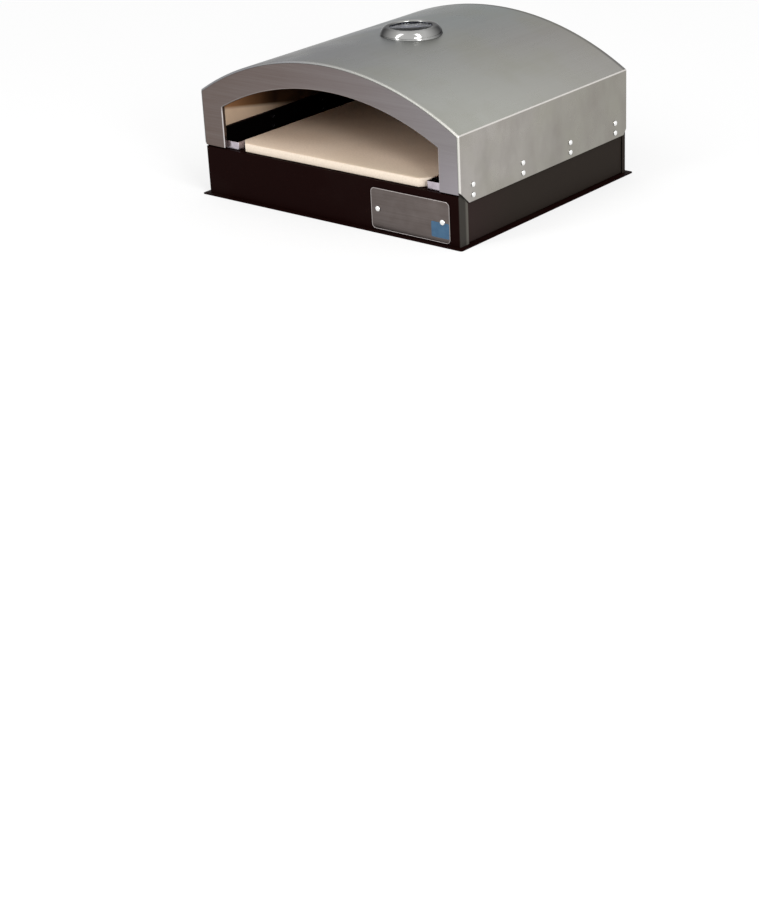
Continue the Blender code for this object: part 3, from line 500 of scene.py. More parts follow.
def blackPaint():
    made, tree, shader = newMaterial("blackPaint")
    look = paintLook
    place = useGroup(tree, placeGroup)
    faces = useGroup(tree, facingGroup)
    # painted light on the corner tab and its ridge, then the sides' tones
    tab = blend(tree, place["Back"], look["ridgeHighlightSpan"], look["tab"], look["ridgeHighlight"])
    wall = blend(tree, place["Back"], look["sideSpan"], look["sideNear"], look["side"])
    flank = blend(tree, place["Back"], look["wallSpan"], tab, wall)
    # the sides take their painted light, the front stays darker
    reach = calc(tree, "ABSOLUTE", calc(tree, "SUBTRACT", place["Across"], 0.5))
    sideways = ramp(tree, faces["Sideways"], *look["sidewaysSpan"])
    onSide = times(tree, sideways, ramp(tree, reach, *look["outmostSpan"]))
    colour = mix(tree, onSide, look["front"], flank)
    dust = clouds(tree, *look["dustClouds"])
    least, more = look["film"]
    film = times(tree, dust, plus(tree, least, times(tree, specks(tree, *look["specks"]), more)))
    colour = mix(tree, film, colour, look["dust"])
    # painted shade on the inner faces
    colour = mix(tree, faces["Outwards"], look["inside"], colour)
    # painted highlight on the folds, in the dust colour
    edge = times(tree, foldMark(tree, look["foldBreakup"]), look["foldHighlightAmount"])
    texture = noiseValue(tree, objectPoint(tree), *look["texture"])
    feedAll(tree, shader, {
        "Base Color": mix(tree, edge, colour, look["dust"]),
        "Roughness": between(tree, dust, *look["roughness"]),
        "Normal": bumpNormal(tree, texture, *look["textureDepth"]),
        "Specular IOR Level": look["specular"],
    })
    return made


stoneLook = {
    "top": (0.90, 0.735, 0.575, 1),
    "topSpan": (0.55, 0.95),
    # painted shade: the top darker towards the right
    "right": (0.76, 0.63, 0.485, 1),
    "rightSpan": (0.40, 0.62),
    # painted light: the top lighter towards the back
    "deep": (0.95, 0.785, 0.62, 1),
    "deepSpan": (0.03, 0.14),
    "baked": (0.68, 0.50, 0.35, 1),
    "bakedClouds": (0.06, 0.45, 0.75),
    "bakedAmount": 0.22,
    "edge": (0.80, 0.69, 0.57, 1),
    "pit": (0.42, 0.32, 0.24, 1),
    "pits": (0.0035, 0.16),
    "pitAmount": 0.5,
    "fine": (420.0, 4.0, 0.7),
    "fineSpan": (0.35, 0.75, 0.0, 0.25),
    "fineHeight": 0.5,
    "roughness": (0.75, 0.95),
    "depth": (0.35, 0.0003),
    "specular": 0.25,
}


def bakedStone():
    made, tree, shader = newMaterial("bakedStone")
    look = stoneLook
    upward = useGroup(tree, facingGroup)["Upwards"]
    place = useGroup(tree, placeGroup)
    fine = noiseValue(tree, objectPoint(tree), *look["fine"])
    # painted shade to the right of the top and painted light towards its back
    top = blend(tree, place["Across"], look["rightSpan"], look["top"], look["right"])
    top = blend(tree, place["Back"], look["deepSpan"], top, look["deep"])
    baked = times(tree, clouds(tree, *look["bakedClouds"]), look["bakedAmount"])
    top = mix(tree, baked, top, look["baked"])
    colour = blend(tree, upward, look["topSpan"], look["edge"], top)
    colour = blend(tree, fine, look["fineSpan"], colour, look["pit"])
    pits = specks(tree, *look["pits"])
    height = calc(tree, "SUBTRACT", times(tree, fine, look["fineHeight"]), pits)
    feedAll(tree, shader, {
        "Base Color": mix(tree, times(tree, pits, look["pitAmount"]), colour, look["pit"]),
        "Roughness": between(tree, fine, *look["roughness"]),
        "Normal": bumpNormal(tree, height, *look["depth"]),
        "Specular IOR Level": look["specular"],
    })
    return made


plateLook = {
    "plate": (0.110, 0.089, 0.082, 1),
    "light": (0.195, 0.171, 0.163, 1),
    "streakShare": 0.3,
    "cloudShare": 0.3,
    # painted highlight on the raised line round the plate
    "rim": (0.46, 0.42, 0.41, 1),
    "rimBreakup": 0.2,
    "clouds": (0.02, 0.35, 0.7),
    "roughness": (0.3, 0.45),
    "grain": (14, 14, 900),
    "grainDepth": (0.1, 0.00005),
}


def plateMetal():
    made, tree, shader = newMaterial("plateMetal")
    look = plateLook
    streaks, normal = brushed(tree, look)
    cloud = clouds(tree, *look["clouds"])
    amount = plus(tree, times(tree, streaks, look["streakShare"]), times(tree, cloud, look["cloudShare"]))
    colour = mix(tree, amount, look["plate"], look["light"])
    # painted highlight on the raised line
    feedAll(tree, shader, {
        "Base Color": mix(tree, foldMark(tree, look["rimBreakup"]), colour, look["rim"]),
        "Roughness": between(tree, cloud, *look["roughness"]),
        "Normal": normal,
        "Metallic": 1,
    })
    return made


chromeLook = {
    # painted reflection: dark and pale quarters round the ring
    "dark": (0.024, 0.024, 0.026, 1),
    "light": (0.42, 0.42, 0.41, 1),
    # the collar's pale quarters are lighter still: painted light where it lies in shade under the bezel
    "collar": (0.45, 0.45, 0.44, 1),
    "reflectionSpan": (-0.85, 0.6),
    "smear": (0.27, 0.27, 0.24, 1),
    "smears": (0.012, 0.4, 0.8),
    "smearAmount": 0.5,
    "roughness": (0.12, 0.17),
    "grazing": (0.6, 0.6, 0.6, 1),
    # turns the painted quarters so that the dark ones lie at the left and right ends from the front right
    "turn": 50,
}


# Painted reflection: two pale and two dark quarters round the axis.
def spunChrome(name, light):
    made, tree, shader = newMaterial(name)
    look = chromeLook
    smears = clouds(tree, *look["smears"])
    parts = partsOf(tree, objectPoint(tree))
    angle = plus(tree, calc(tree, "ARCTAN2", parts["Y"], parts["X"]), math.radians(look["turn"]))
    wave = calc(tree, "COSINE", times(tree, angle, 2.0))
    pale = mix(tree, times(tree, smears, look["smearAmount"]), light, look["smear"])
    feedAll(tree, shader, {
        "Base Color": blend(tree, wave, look["reflectionSpan"], look["dark"], pale),
        "Roughness": between(tree, smears, *look["roughness"]),
        "Metallic": 1,
        "Specular Tint": look["grazing"],
    })
    return made


glassLook = {
    "colour": (0.78, 0.80, 0.88, 1),
    "ior": 1.09,
    "smears": (0.015, 0.45, 0.8),
    "roughness": (0.0, 0.05),
}


def gaugeGlass():
    made, tree, shader = newMaterial("gaugeGlass")
    feedAll(tree, shader, {
        "Roughness": between(tree, clouds(tree, *glassLook["smears"]), *glassLook["roughness"]),
        "Base Color": glassLook["colour"],
        "Transmission Weight": 1,
        "IOR": glassLook["ior"],
    })
    return made


plainPatches = (0.006, 0.3, 0.75)
plainLooks = {
    "bright": {
        "name": "brightSteel",
        "colours": ((0.93, 0.93, 0.92, 1), (0.76, 0.75, 0.73, 1)),
        "patches": (0.004, 0.4, 0.75),
        "roughness": (0.16, 0.34),
        "metallic": 1,
        "specular": 0.5,
    },
    "blue": {
        "name": "printedBlue",
        "colours": ((0.045, 0.113, 0.195, 1), (0.035, 0.092, 0.168, 1)),
        "patches": (0.008, 0.3, 0.7),
        "roughness": (0.4, 0.55),
    },
    "clip": {
        "name": "clipSteel",
        "colours": ((0.54, 0.49, 0.54, 1), (0.40, 0.35, 0.39, 1)),
        "patches": (0.005, 0.3, 0.75),
        "roughness": (0.22, 0.34),
        "metallic": 1,
    },
    "dial": {
        "name": "dialPaint",
        "colours": ((0.030, 0.032, 0.038, 1), (0.022, 0.024, 0.030, 1)),
        "roughness": (0.35, 0.47),
    },
    "white": {
        "name": "dialPrint",
        "colours": ((0.72, 0.72, 0.70, 1), (0.62, 0.62, 0.60, 1)),
        "roughness": (0.5, 0.62),
    },
    "needle": {
        "name": "needlePaint",
        "colours": ((0.55, 0.04, 0.025, 1), (0.42, 0.03, 0.02, 1)),
        "roughness": (0.35, 0.47),
    },
    "seal": {
        "name": "sealRubber",
        "colours": ((0.028, 0.028, 0.028, 1), (0.045, 0.045, 0.042, 1)),
        "roughness": (0.6, 0.72),
    },
    "brass": {
        "name": "turnedBrass",
        "colours": ((0.60, 0.42, 0.17, 1), (0.42, 0.29, 0.12, 1)),
        "roughness": (0.25, 0.37),
        "metallic": 1,
    },
    "bimetal": {
        "name": "bimetalStrip",
        "colours": ((0.50, 0.42, 0.31, 1), (0.36, 0.30, 0.24, 1)),
        "roughness": (0.3, 0.42),
        "metallic": 1,
    },
}


# Two colours in soft patches; the patches also differ in roughness.
def patchy(name, colours, roughness, patches=plainPatches, metallic=0, specular=0.3):
    made, tree, shader = newMaterial(name)
    cloud = clouds(tree, *patches)
    feedAll(tree, shader, {
        "Base Color": mix(tree, cloud, *colours),
        "Roughness": between(tree, cloud, *roughness),
        "Metallic": metallic,
        "Specular IOR Level": specular,
    })
    return made


looks = {
    "shell": shellSteel(),
    "face": faceSteel(),
    "liner": linerSteel(),
    "paint": blackPaint(),
    "stone": bakedStone(),
    "plate": plateMetal(),
    "chrome": spunChrome("gaugeChrome", chromeLook["light"]),
    "collar": spunChrome("gaugeCollar", chromeLook["collar"]),
    "glass": gaugeGlass(),
}
for look, values in plainLooks.items():
    looks[look] = patchy(**values)
print("finishes ready,", len(looks))

# Shapes


modelling = {
    "mergeDistance": 0.000002,
    "squareOn": 0.99,  # how far a face has to look along an axis to count as facing it
    "straight": 0.02,  # a smaller turn of a folded sheet is no bend
    "bendGuard": 0.0009,  # from a bend to the first point of the straight run beside it
    "sameWay": 0.001,  # two ends of a run that differ less in direction are one straight run
    "leastCorner": 0.0002,
    "sharpAngle": 32,
}


def mergeDoubles(bm):
    bmesh.ops.remove_doubles(bm, verts=bm.verts, dist=modelling["mergeDistance"])


def finishMesh(name, bm, look, sharpAngle=modelling["sharpAngle"]):
    mergeDoubles(bm)
    bmesh.ops.recalc_face_normals(bm, faces=bm.faces)
    mesh = bpy.data.meshes.new(name)
    bm.to_mesh(mesh)
    bm.free()
    mesh.shade_smooth()
    mesh.set_sharp_from_angle(angle=math.radians(sharpAngle))
    mesh.materials.append(looks[look])
    return mesh


def addPiece(name, bm, look, replaced, body="housing"):
    addObject(name, finishMesh(name, bm, look), replaced, body)


def addObject(name, data, replaced, body="housing", place=None):
    piece = bpy.data.objects.new(name, data)
    scene.collection.objects.link(piece)
    if place:
        piece.matrix_world = place
    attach(piece, body)
    if replaced:
        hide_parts(*replaced)


def middleOf(low, high):
    return (low + high) / 2


def polar(radius, angle):
    return radius * math.cos(angle), radius * math.sin(angle)


def extrudeBy(bm, geometry, vector, keep):
    raised = bmesh.ops.extrude_face_region(bm, geom=geometry, use_keep_orig=keep)
    moved = [item for item in raised["geom"] if isinstance(item, bmesh.types.BMVert)]
    bmesh.ops.translate(bm, vec=vector, verts=moved)


def prism(outline, low, high, place):
    bm = bmesh.new()
    face = bm.faces.new([bm.verts.new(place(u, v, low)) for u, v in outline])
    extrudeBy(bm, [face], place(0, 0, high) - place(0, 0, low), True)
    bmesh.ops.recalc_face_normals(bm, faces=bm.faces)
    return bm


# Joins each closed ring of points to the next.
def joinRings(bm, rings):
    for ring, following in zip(rings, rings[1:]):
        for i in range(-1, len(ring) - 1):
            bm.faces.new((ring[i], ring[i + 1], following[i + 1], following[i]))


def acrossY(u, v, w):
    return Vector((u, w, v))


def upright(u, v, w):
    return Vector((u, v, w))


def lathe(profile, steps, ring=False):
    bm = bmesh.new()
    verts = [bm.verts.new((radius, 0, height)) for radius, height in profile]
    edges = [bm.edges.new(pair) for pair in zip(verts, verts[1:])]
    if ring:
        edges.append(bm.edges.new((verts[-1], verts[0])))
    bmesh.ops.spin(
        bm, geom=verts + edges, cent=(0, 0, 0), axis=(0, 0, 1), angle=math.tau, steps=steps, use_merge=True
    )
    mergeDoubles(bm)
    return bm


def roundedRectangle(width, height, corner, steps):
    points = []
    for quarter in range(4):
        xSign = 1 if quarter in (0, 3) else -1
        ySign = 1 if quarter < 2 else -1
        for step in range(steps + 1):
            x, y = polar(corner, math.pi / 2 * (quarter + step / steps))
            points.append((xSign * (width / 2 - corner) + x, ySign * (height / 2 - corner) + y))
    return points


# A sheet folded along a path, as stations: a point on each face, and 1 where the sheet is bent.
def foldedSheet(path, sheet, bend, steps, spacing=None):
    path = [Vector(point) for point in path]
    marks = []

    def leftOf(start, end):
        along = (end - start).normalized()
        return Vector((-along.y, along.x))

    marks.append((path[0], leftOf(path[0], path[1]), 0))
    for before, corner, after in zip(path, path[1:], path[2:]):
        normal = leftOf(before, corner)
        along = (corner - before).normalized()
        ahead = (after - corner).normalized()
        turn = math.atan2(along.cross(ahead), along.dot(ahead))
        if abs(turn) < modelling["straight"]:
            marks.append((corner, normal, 0))
            continue
        reach = bend * math.tan(abs(turn) / 2)
        side = math.copysign(bend, turn)
        centre = corner - along * reach + normal * side
        for step in range(steps + 1):
            turned = Matrix.Rotation(turn * step / steps, 2) @ normal
            marks.append((centre - turned * side, turned, math.sin(math.pi * step / steps)))
    marks.append((path[-1], leftOf(path[-2], path[-1]), 0))
    if spacing:
        marks = fillRuns(marks, spacing)
    return [(point + normal * sheet / 2, point - normal * sheet / 2, fold) for point, normal, fold in marks]


# Adds points along the straight runs, the first and last close to the bends.
def fillRuns(marks, spacing):
    guard = modelling["bendGuard"]
    filled = [marks[0]]
    for (start, normal, fold), (end, endNormal, endFold) in zip(marks, marks[1:]):
        length = (end - start).length
        if (normal - endNormal).length < modelling["sameWay"] and length > 3 * guard:
            count = max(1, round((length - 2 * guard) / spacing))
            for step in range(count + 1):
                share = (guard + (length - 2 * guard) * step / count) / length
                filled.append((start.lerp(end, share), normal, 0))
        filled.append((end, endNormal, endFold))
    return filled


def foldedOutline(path, sheet, bend, steps):
    stations = foldedSheet(path, sheet, bend, steps)
    return [left for left, _, _ in stations] + [right for _, right, _ in reversed(stations)]


# A closed sheet between two grids of points; each point is (place, fold).
def sheetBetween(outer, inner):
    bm = bmesh.new()
    # the fold mark, stored on the mesh, sets the painted highlight along the bends
    fold = bm.verts.layers.float.new("fold")
    grids = []
    for grid in (outer, inner):
        made = []
        for row in grid:
            made.append([bm.verts.new(point) for point, _ in row])
            for vert, (_, mark) in zip(made[-1], row):
                vert[fold] = mark
        grids.append(made)
    count = len(outer[0])
    for grid in grids:
        for row, following in zip(grid, grid[1:]):
            for i in range(count - 1):
                bm.faces.new((row[i], row[i + 1], following[i + 1], following[i]))
    for k in (0, -1):
        for i in range(count - 1):
            bm.faces.new((grids[0][k][i], grids[0][k][i + 1], grids[1][k][i + 1], grids[1][k][i]))
    for i in (0, count - 1):
        for k in range(len(outer) - 1):
            bm.faces.new((grids[0][k][i], grids[0][k + 1][i], grids[1][k + 1][i], grids[1][k][i]))
    return bm


def splitAt(bm, point, normal):
    geometry = list(bm.verts) + list(bm.edges) + list(bm.faces)
    near = modelling["mergeDistance"]
    bmesh.ops.bisect_plane(bm, geom=geometry, plane_co=point, plane_no=normal, dist=near)


def pull(bm, chosen, vector):
    faces = [face for face in bm.faces if chosen(face.calc_center_median(), face.normal)]
    extrudeBy(bm, faces, vector, False)
    bmesh.ops.delete(bm, geom=[face for face in faces if face.is_valid], context="FACES")
    bmesh.ops.recalc_face_normals(bm, faces=bm.faces)


def bevel(bm, edges, width, segments):
    bmesh.ops.bevel(bm, geom=edges, offset=width, segments=segments, profile=0.5, affect="EDGES")


def bevelSharp(bm, width, segments, least=50):
    sharp = math.radians(least)
    paired = [edge for edge in bm.edges if len(edge.link_faces) == 2]
    bevel(bm, [edge for edge in paired if edge.calc_face_angle() > sharp], width, segments)


def mirror(bm):
    bmesh.ops.scale(bm, vec=(-1, 1, 1), verts=bm.verts)
    bmesh.ops.reverse_faces(bm, faces=bm.faces)


# The radius of an arch that rises this much over half its width.
def archRadius(side, rise):
    return (side**2 + rise**2) / (2 * rise)


# Shell

shell = {
    "sheet": 0.001,
    "rise": 0.0589,
    "shoulder": 0.0026,
    "roll": 0.002,
    "archSteps": 88,
    "sideRows": 16,
    "cornerSteps": 6,
    "spacing": 0.009,
    "frontClip": (0.0165, 0.0155),  # depth and height cut off the skirt's front corner
    "backClip": (0.008, 0.009),
    "wave": 0.00016,  # how far the thin sheet stands off true
    "waveSize": 0.11,
    "waveSeed": 3.0,
    "calmReach": 0.03,  # the waves fade out over this much in front of a bend
    "flankReach": 0.006,  # closer to a side than this, the sheet stands upright
    "highlightLeft": 0.05,  # the front bend's painted highlight: at the left, what it gains to the right, and at the corner
    "highlightSlope": 0.16,
    "highlightCorner": 0.55,
    "highlightPower": 8,
}
domeRadius = archRadius(halfWidth, shell["rise"])
domeCentre = crownZ - domeRadius

mouth = {
    "sideBorder": 0.0332,
    "topBorder": 0.0338,
    "rise": 0.043,
    "corner": 0.0015,
    "turnIn": 0.005,
    "roll": 0.001,
    "band": 0.006,
    "footGap": 0.0022,
    "panelInset": 0.0028,
    "rows": 7,
    "spacing": 0.002,
    "waveSeed": 8.0,
    "shift": 0.002,  # the mouth lies this much to the right of the middle
}


# An arch over upright sides, from the right foot to the left foot, as (x, z, fold).
def archOutline(side, apex, rise, corner, foot, inset, marked):
    radius = archRadius(side, rise)
    centre = apex - radius
    radius -= inset
    side -= inset
    corner = max(corner - inset, modelling["leastCorner"])
    turnX = side - corner
    turnZ = centre + math.sqrt((radius - corner) ** 2 - turnX**2)
    meet = math.atan2(turnX, turnZ - centre)
    guard = modelling["bendGuard"]
    rows = shell["sideRows"]
    points = [(side, foot + (turnZ - guard - foot) * row / rows, 0) for row in range(rows + 1)]
    for step in range(shell["cornerSteps"] + 1):
        share = step / shell["cornerSteps"]
        angle = math.pi / 2 + (meet - math.pi / 2) * share
        mark = math.sin(math.pi * share) if marked else 0
        points.append((turnX + corner * math.sin(angle), turnZ + corner * math.cos(angle), mark))
    half = shell["archSteps"] // 2
    start = meet - guard / radius
    for step in range(half):
        angle = start * (1 - step / half)
        points.append((radius * math.sin(angle), centre + radius * math.cos(angle), 0))
    crown = (0, centre + radius, 0)
    return points + [crown] + [(-x, z, fold) for x, z, fold in reversed(points)]


def domeOutline(inset, foot, marked=False):
    return archOutline(halfWidth, crownZ, shell["rise"], shell["shoulder"], foot, inset, marked)


def mouthOutline(inset, foot):
    side = halfWidth - mouth["sideBorder"]
    return archOutline(side, crownZ - mouth["topBorder"], mouth["rise"], mouth["corner"], foot, inset, False)


# How far thin sheet stands off its true surface; zero where it is folded or held.
def sheetWave(x, y, z, seed):
    point = Vector((x, y, z)) / shell["waveSize"] + Vector((seed, 0, 0))
    return shell["wave"] * noise.noise(point)


# The front bend's painted highlight is faint at the left and grows from past the crown to the right,
# strongest at the corner; the rear bend has it in full.
def bendShine(x, y):
    if y > 0:
        return 1
    reach = max(0.0, x / halfWidth)
    corner = shell["highlightCorner"] * reach ** shell["highlightPower"]
    return shell["highlightLeft"] + shell["highlightSlope"] * reach + corner


def skirtFoot(y):
    depth, height = shell["frontClip"]
    front = (faceY + depth - y) * height / depth
    depth, height = shell["backClip"]
    back = (y + faceY + depth) * height / depth
    return shellLow.z + max(front, back, 0)


def buildShell():
    half = shell["sheet"] / 2
    path = [
        (faceY + half, half + shell["roll"]),
        (faceY + half, half),
        (faceY + shell["frontClip"][0], half),
        (-faceY - shell["backClip"][0], half),
        (-faceY - half, half),
        (-faceY - half, half + shell["roll"]),
    ]
    stations = foldedSheet(path, shell["sheet"], shell["roll"], shell["cornerSteps"], shell["spacing"])
    grids = ([], [])
    for inner, outer, rowFold in stations:
        for grid, (y, inset) in zip(grids, (outer, inner)):
            row = []
            for x, z, fold in domeOutline(inset, skirtFoot(y), True):
                away = Vector((1, 0, 0))
                if abs(x) < halfWidth - shell["flankReach"]:
                    away = Vector((x, 0, z - domeCentre)).normalized()
                mark = max(fold, rowFold * bendShine(x, y))
                calm = min(1, abs(abs(y) + faceY) / shell["calmReach"]) * (1 - max(fold, rowFold))
                wave = sheetWave(x, y, z, shell["waveSeed"]) * calm
                row.append((Vector((x, y, z)) + away * wave, mark))
            grid.append(row)
    addPiece("shellSkin", sheetBetween(*grids), "shell", ["outer_dome"])


def buildFacePanel():
    half = shell["sheet"] / 2
    foot = frontWallTop + mouth["footGap"]
    path = [(faceY + mouth["turnIn"], half), (faceY + half, half), (faceY + half, mouth["band"])]
    stations = foldedSheet(path, shell["sheet"], mouth["roll"], shell["cornerSteps"], mouth["spacing"])
    grids = ([], [])
    for face, (grid, yEdge) in enumerate(zip(grids, (faceY, faceY + shell["sheet"]))):
        for station in stations:
            y, out = station[face]
            line = [Vector((x + mouth["shift"], y, z)) for x, z, _ in mouthOutline(-out, foot)]
            grid.append([(point, station[2]) for point in line])
        near = [point for point, _ in grid[-1]]
        far = [Vector((x, yEdge, z)) for x, z, _ in domeOutline(mouth["panelInset"], foot)]
        for row in range(1, mouth["rows"] + 1):
            share = row / mouth["rows"]
            calm = math.sin(math.pi * share)
            line = [a.lerp(b, share) for a, b in zip(near, far)]
            for point in line:
                point.y += abs(sheetWave(point.x, 0, point.z, mouth["waveSeed"])) * calm
            grid.append([(point, 0) for point in line])
    addPiece("facePanel", sheetBetween(*grids), "face", ["front_panel"])


liner = {
    "inset": 0.012,
    "flange": 0.008,
    "bendSteps": 5,
    "spacing": 0.012,
}


def buildLiner():
    half = shell["sheet"] / 2
    low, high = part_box("inner_liner")
    centre = liner["inset"] + half
    front = low.y + half
    back = high.y - half
    edge = centre - liner["flange"]
    path = [(front, edge), (front, centre), (back, centre), (back, edge)]
    stations = foldedSheet(path, shell["sheet"], shell["roll"], liner["bendSteps"], liner["spacing"])
    grids = ([], [])
    for first, second, fold in stations:
        for grid, (y, inset) in zip(grids, (first, second)):
            grid.append([(Vector((x, y, z)), fold) for x, z, _ in domeOutline(inset, low.z)])
    addPiece("linerSkin", sheetBetween(*grids), "liner", ["inner_liner"])


buildShell()
buildFacePanel()
buildLiner()
print("shell built")

# Base

base = {
    "sheet": 0.0012,
    "bend": 0.0015,
    "bendSteps": 7,
    "gap": 0.0003,
    "frontTab": 0.016,
    "backTab": 0.008,
    "tabClearance": 0.0015,
    "ledge": 0.014,
    "foot": 0.012,
    "footInset": 0.0132,
    "topRound": 0.0009,
    "topRoundSteps": 5,
    "lipCorner": 0.003,
    "lipCornerSteps": 6,
    "lipRound": 0.00035,
    "lipRoundSteps": 3,
    "burnerRadius": 0.105,
    "burnerSteps": 96,
}


# An end wall with a tab folded round each corner, a ledge at its top and a flange at its foot.
def endWall(name, node, clip, tab, turned):
    low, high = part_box(node)
    top = high.z
    sheet = base["sheet"]
    half = sheet / 2
    side = high.x - half
    wallX = high.x - sheet - base["gap"]
    tabEnd = faceY + tab
    path = [(-side, tabEnd), (-side, faceY + half), (side, faceY + half), (side, tabEnd)]
    bm = prism(foldedOutline(path, sheet, base["bend"], base["bendSteps"]), baseFoot, top, upright)
    splitAt(bm, (0, faceY + base["bend"] + half, 0), (0, 1, 0))
    clipDepth, clipHeight = clip
    clipTop = shellLow.z + clipHeight - base["tabClearance"]
    for vert in bm.verts:
        if vert.co.z > baseFoot + half:
            vert.co.z = min(top, clipTop - (vert.co.y - faceY) * clipHeight / clipDepth)
    ledgeEnd = wallX - sheet - base["gap"]
    flangeEnd = wallX - base["footInset"] - base["gap"]
    for height in (top - sheet, baseFoot + sheet):
        splitAt(bm, (0, 0, height), (0, 0, 1))
    for x in (-ledgeEnd, -flangeEnd, flangeEnd, ledgeEnd):
        splitAt(bm, (x, 0, 0), (1, 0, 0))

    def innerFace(middle, normal):
        return normal.y > modelling["squareOn"] and abs(middle.y - sheet - faceY) < half / 2

    def isLedge(middle, normal):
        return innerFace(middle, normal) and middle.z > top - sheet and abs(middle.x) < ledgeEnd

    def isFoot(middle, normal):
        return innerFace(middle, normal) and middle.z < baseFoot + sheet and abs(middle.x) < flangeEnd

    def onRim(vert):
        return abs(vert.co.z - top) < half / 2 and abs(vert.co.y - faceY) < half / 2

    pull(bm, isLedge, (0, base["ledge"], 0))
    pull(bm, isFoot, (0, base["foot"], 0))
    rim = [edge for edge in bm.edges if all(onRim(vert) for vert in edge.verts)]
    bevel(bm, rim, base["topRound"], base["topRoundSteps"])
    if turned:
        bmesh.ops.rotate(bm, verts=bm.verts, matrix=Matrix.Rotation(math.pi, 3, "Z"))
    addPiece(name, bm, "paint", [node])


def buildSideWalls():
    half = base["sheet"] / 2
    for name, node in (("baseSideLeft", "base_left_wall"), ("baseSideRight", "base_right_wall")):
        low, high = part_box(node)
        outside = max(abs(low.x), abs(high.x)) - half
        inside = min(abs(low.x), abs(high.x))
        foot = low.z + half
        top = high.z - half
        path = [(inside, foot), (outside, foot), (outside, top), (inside, top)]
        outline = foldedOutline(path, base["sheet"], base["bend"], base["bendSteps"])
        bm = prism(outline, low.y, high.y, acrossY)
        if low.x < 0:
            mirror(bm)
        addPiece(name, bm, "paint", [node])


def buildBottomPlate():
    low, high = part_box("bottom_plate")
    width, depth, height = high - low
    outline = roundedRectangle(width, depth, base["lipCorner"], base["lipCornerSteps"])
    steps = base["burnerSteps"]
    hole = [polar(base["burnerRadius"], math.tau * i / steps) for i in range(steps)]
    bm = bmesh.new()
    edges = []
    for loop in (outline, hole):
        verts = [bm.verts.new((x, y, low.z)) for x, y in loop]
        edges += [bm.edges.new((verts[i - 1], verts[i])) for i in range(len(verts))]
    bmesh.ops.triangle_fill(bm, edges=edges, use_beauty=True)
    extrudeBy(bm, list(bm.faces), (0, 0, height), True)
    bevelSharp(bm, base["lipRound"], base["lipRoundSteps"])
    addPiece("basePlate", bm, "paint", ["bottom_plate"])


endWall("baseFront", "base_front_wall", shell["frontClip"], base["frontTab"], False)
endWall("baseBack", "base_back_wall", shell["backClip"], base["backTab"], True)
buildSideWalls()
buildBottomPlate()
print("base built")

# Stone

stone = {
    "corner": 0.012,
    "cornerRows": 4,
    "round": 0.0012,
    "roundSteps": 3,
    "rows": 90,
    "columns": 90,
    "pit": 0.00012,
    "pitScale": 700,
    "chip": 0.0007,
    "chipScale": 160,
    "chipFrom": 0.25,
    "chipReach": 0.0002,  # from the flat's edge
}


def buildStone():
    low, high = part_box("pizza_stone")
    middle = middleOf(low, high)
    inset = stone["round"]
    side = high.x - inset
    front = low.y + inset
    back = high.y - inset
    corner = stone["corner"] - inset * (2 - math.sqrt(2))
    rows, columns, cornerRows = stone["rows"], stone["columns"], stone["cornerRows"]
    straight = back - front - 2 * corner
    stations = [front + corner + straight * k / rows for k in range(1, rows + 1)]
    for k in range(cornerRows + 1):
        stations += [front + corner * k / cornerRows, back - corner * k / cornerRows]
    # both lists hold the row at the rear corners, whose edge is rounded once for each side that meets there
    bm = bmesh.new()
    loops = []
    for z in (high.z, low.z):
        grid = []
        for y in sorted(stations):
            reach = side - max(0, corner - min(y - front, back - y))
            grid.append([bm.verts.new((reach * (2 * k / columns - 1), y, z)) for k in range(columns + 1)])
        for row, following in zip(grid, grid[1:]):
            for i in range(columns):
                bm.faces.new((row[i], row[i + 1], following[i + 1], following[i]))
        loop = grid[0] + [row[-1] for row in grid[1:]]
        loops.append(loop + grid[-1][-2::-1] + [row[0] for row in grid[-2:0:-1]])
    top, bottom = loops
    outward = []
    for before, after in zip(top[-1:] + top[:-1], top[1:] + top[:1]):
        along = (after.co - before.co).normalized()
        outward.append(Vector((along.y, -along.x, 0)))

    # the rounded edge, from the top down or from the bottom up
    def ringFrom(loop, step, upwards):
        angle = math.pi / 2 * step / stone["roundSteps"]
        out = inset * math.sin(angle)
        rise = Vector((0, 0, upwards * inset * (1 - math.cos(angle))))
        return [bm.verts.new(vert.co + normal * out + rise) for vert, normal in zip(loop, outward)]

    steps = range(1, stone["roundSteps"] + 1)
    upper = [ringFrom(top, step, -1) for step in steps]
    lower = [ringFrom(bottom, step, 1) for step in reversed(steps)]
    joinRings(bm, [top] + upper + lower + [bottom])

    # pits on both faces, and small chips along the edge
    for vert in bm.verts:
        place = vert.co.copy()
        pit = abs(noise.noise(place * stone["pitScale"])) * stone["pit"]
        if place.z > middle.z:
            vert.co.z = min(high.z, place.z - pit)
        else:
            vert.co.z = max(low.z, place.z + pit)
        past = max(abs(place.x) - side, abs(place.y - middle.y) - (back - front) / 2)
        if past > -stone["chipReach"]:
            chip = max(0, noise.noise(place * stone["chipScale"]) - stone["chipFrom"]) * stone["chip"]
            vert.co -= Vector((place.x, place.y - middle.y, 0)).normalized() * chip
    addPiece("bakingStone", bm, "stone", ["pizza_stone"], "stone")


clip = {
    "sheet": 0.0012,
    "bend": 0.0015,
    "bendSteps": 5,
    "gap": 0.0004,
    "foot": 0.008,
    "footDepth": 0.002,
    "rearFoot": 0.014,
    "rearReach": 0.017,
    "round": 0.00022,
    "roundSteps": 2,
}


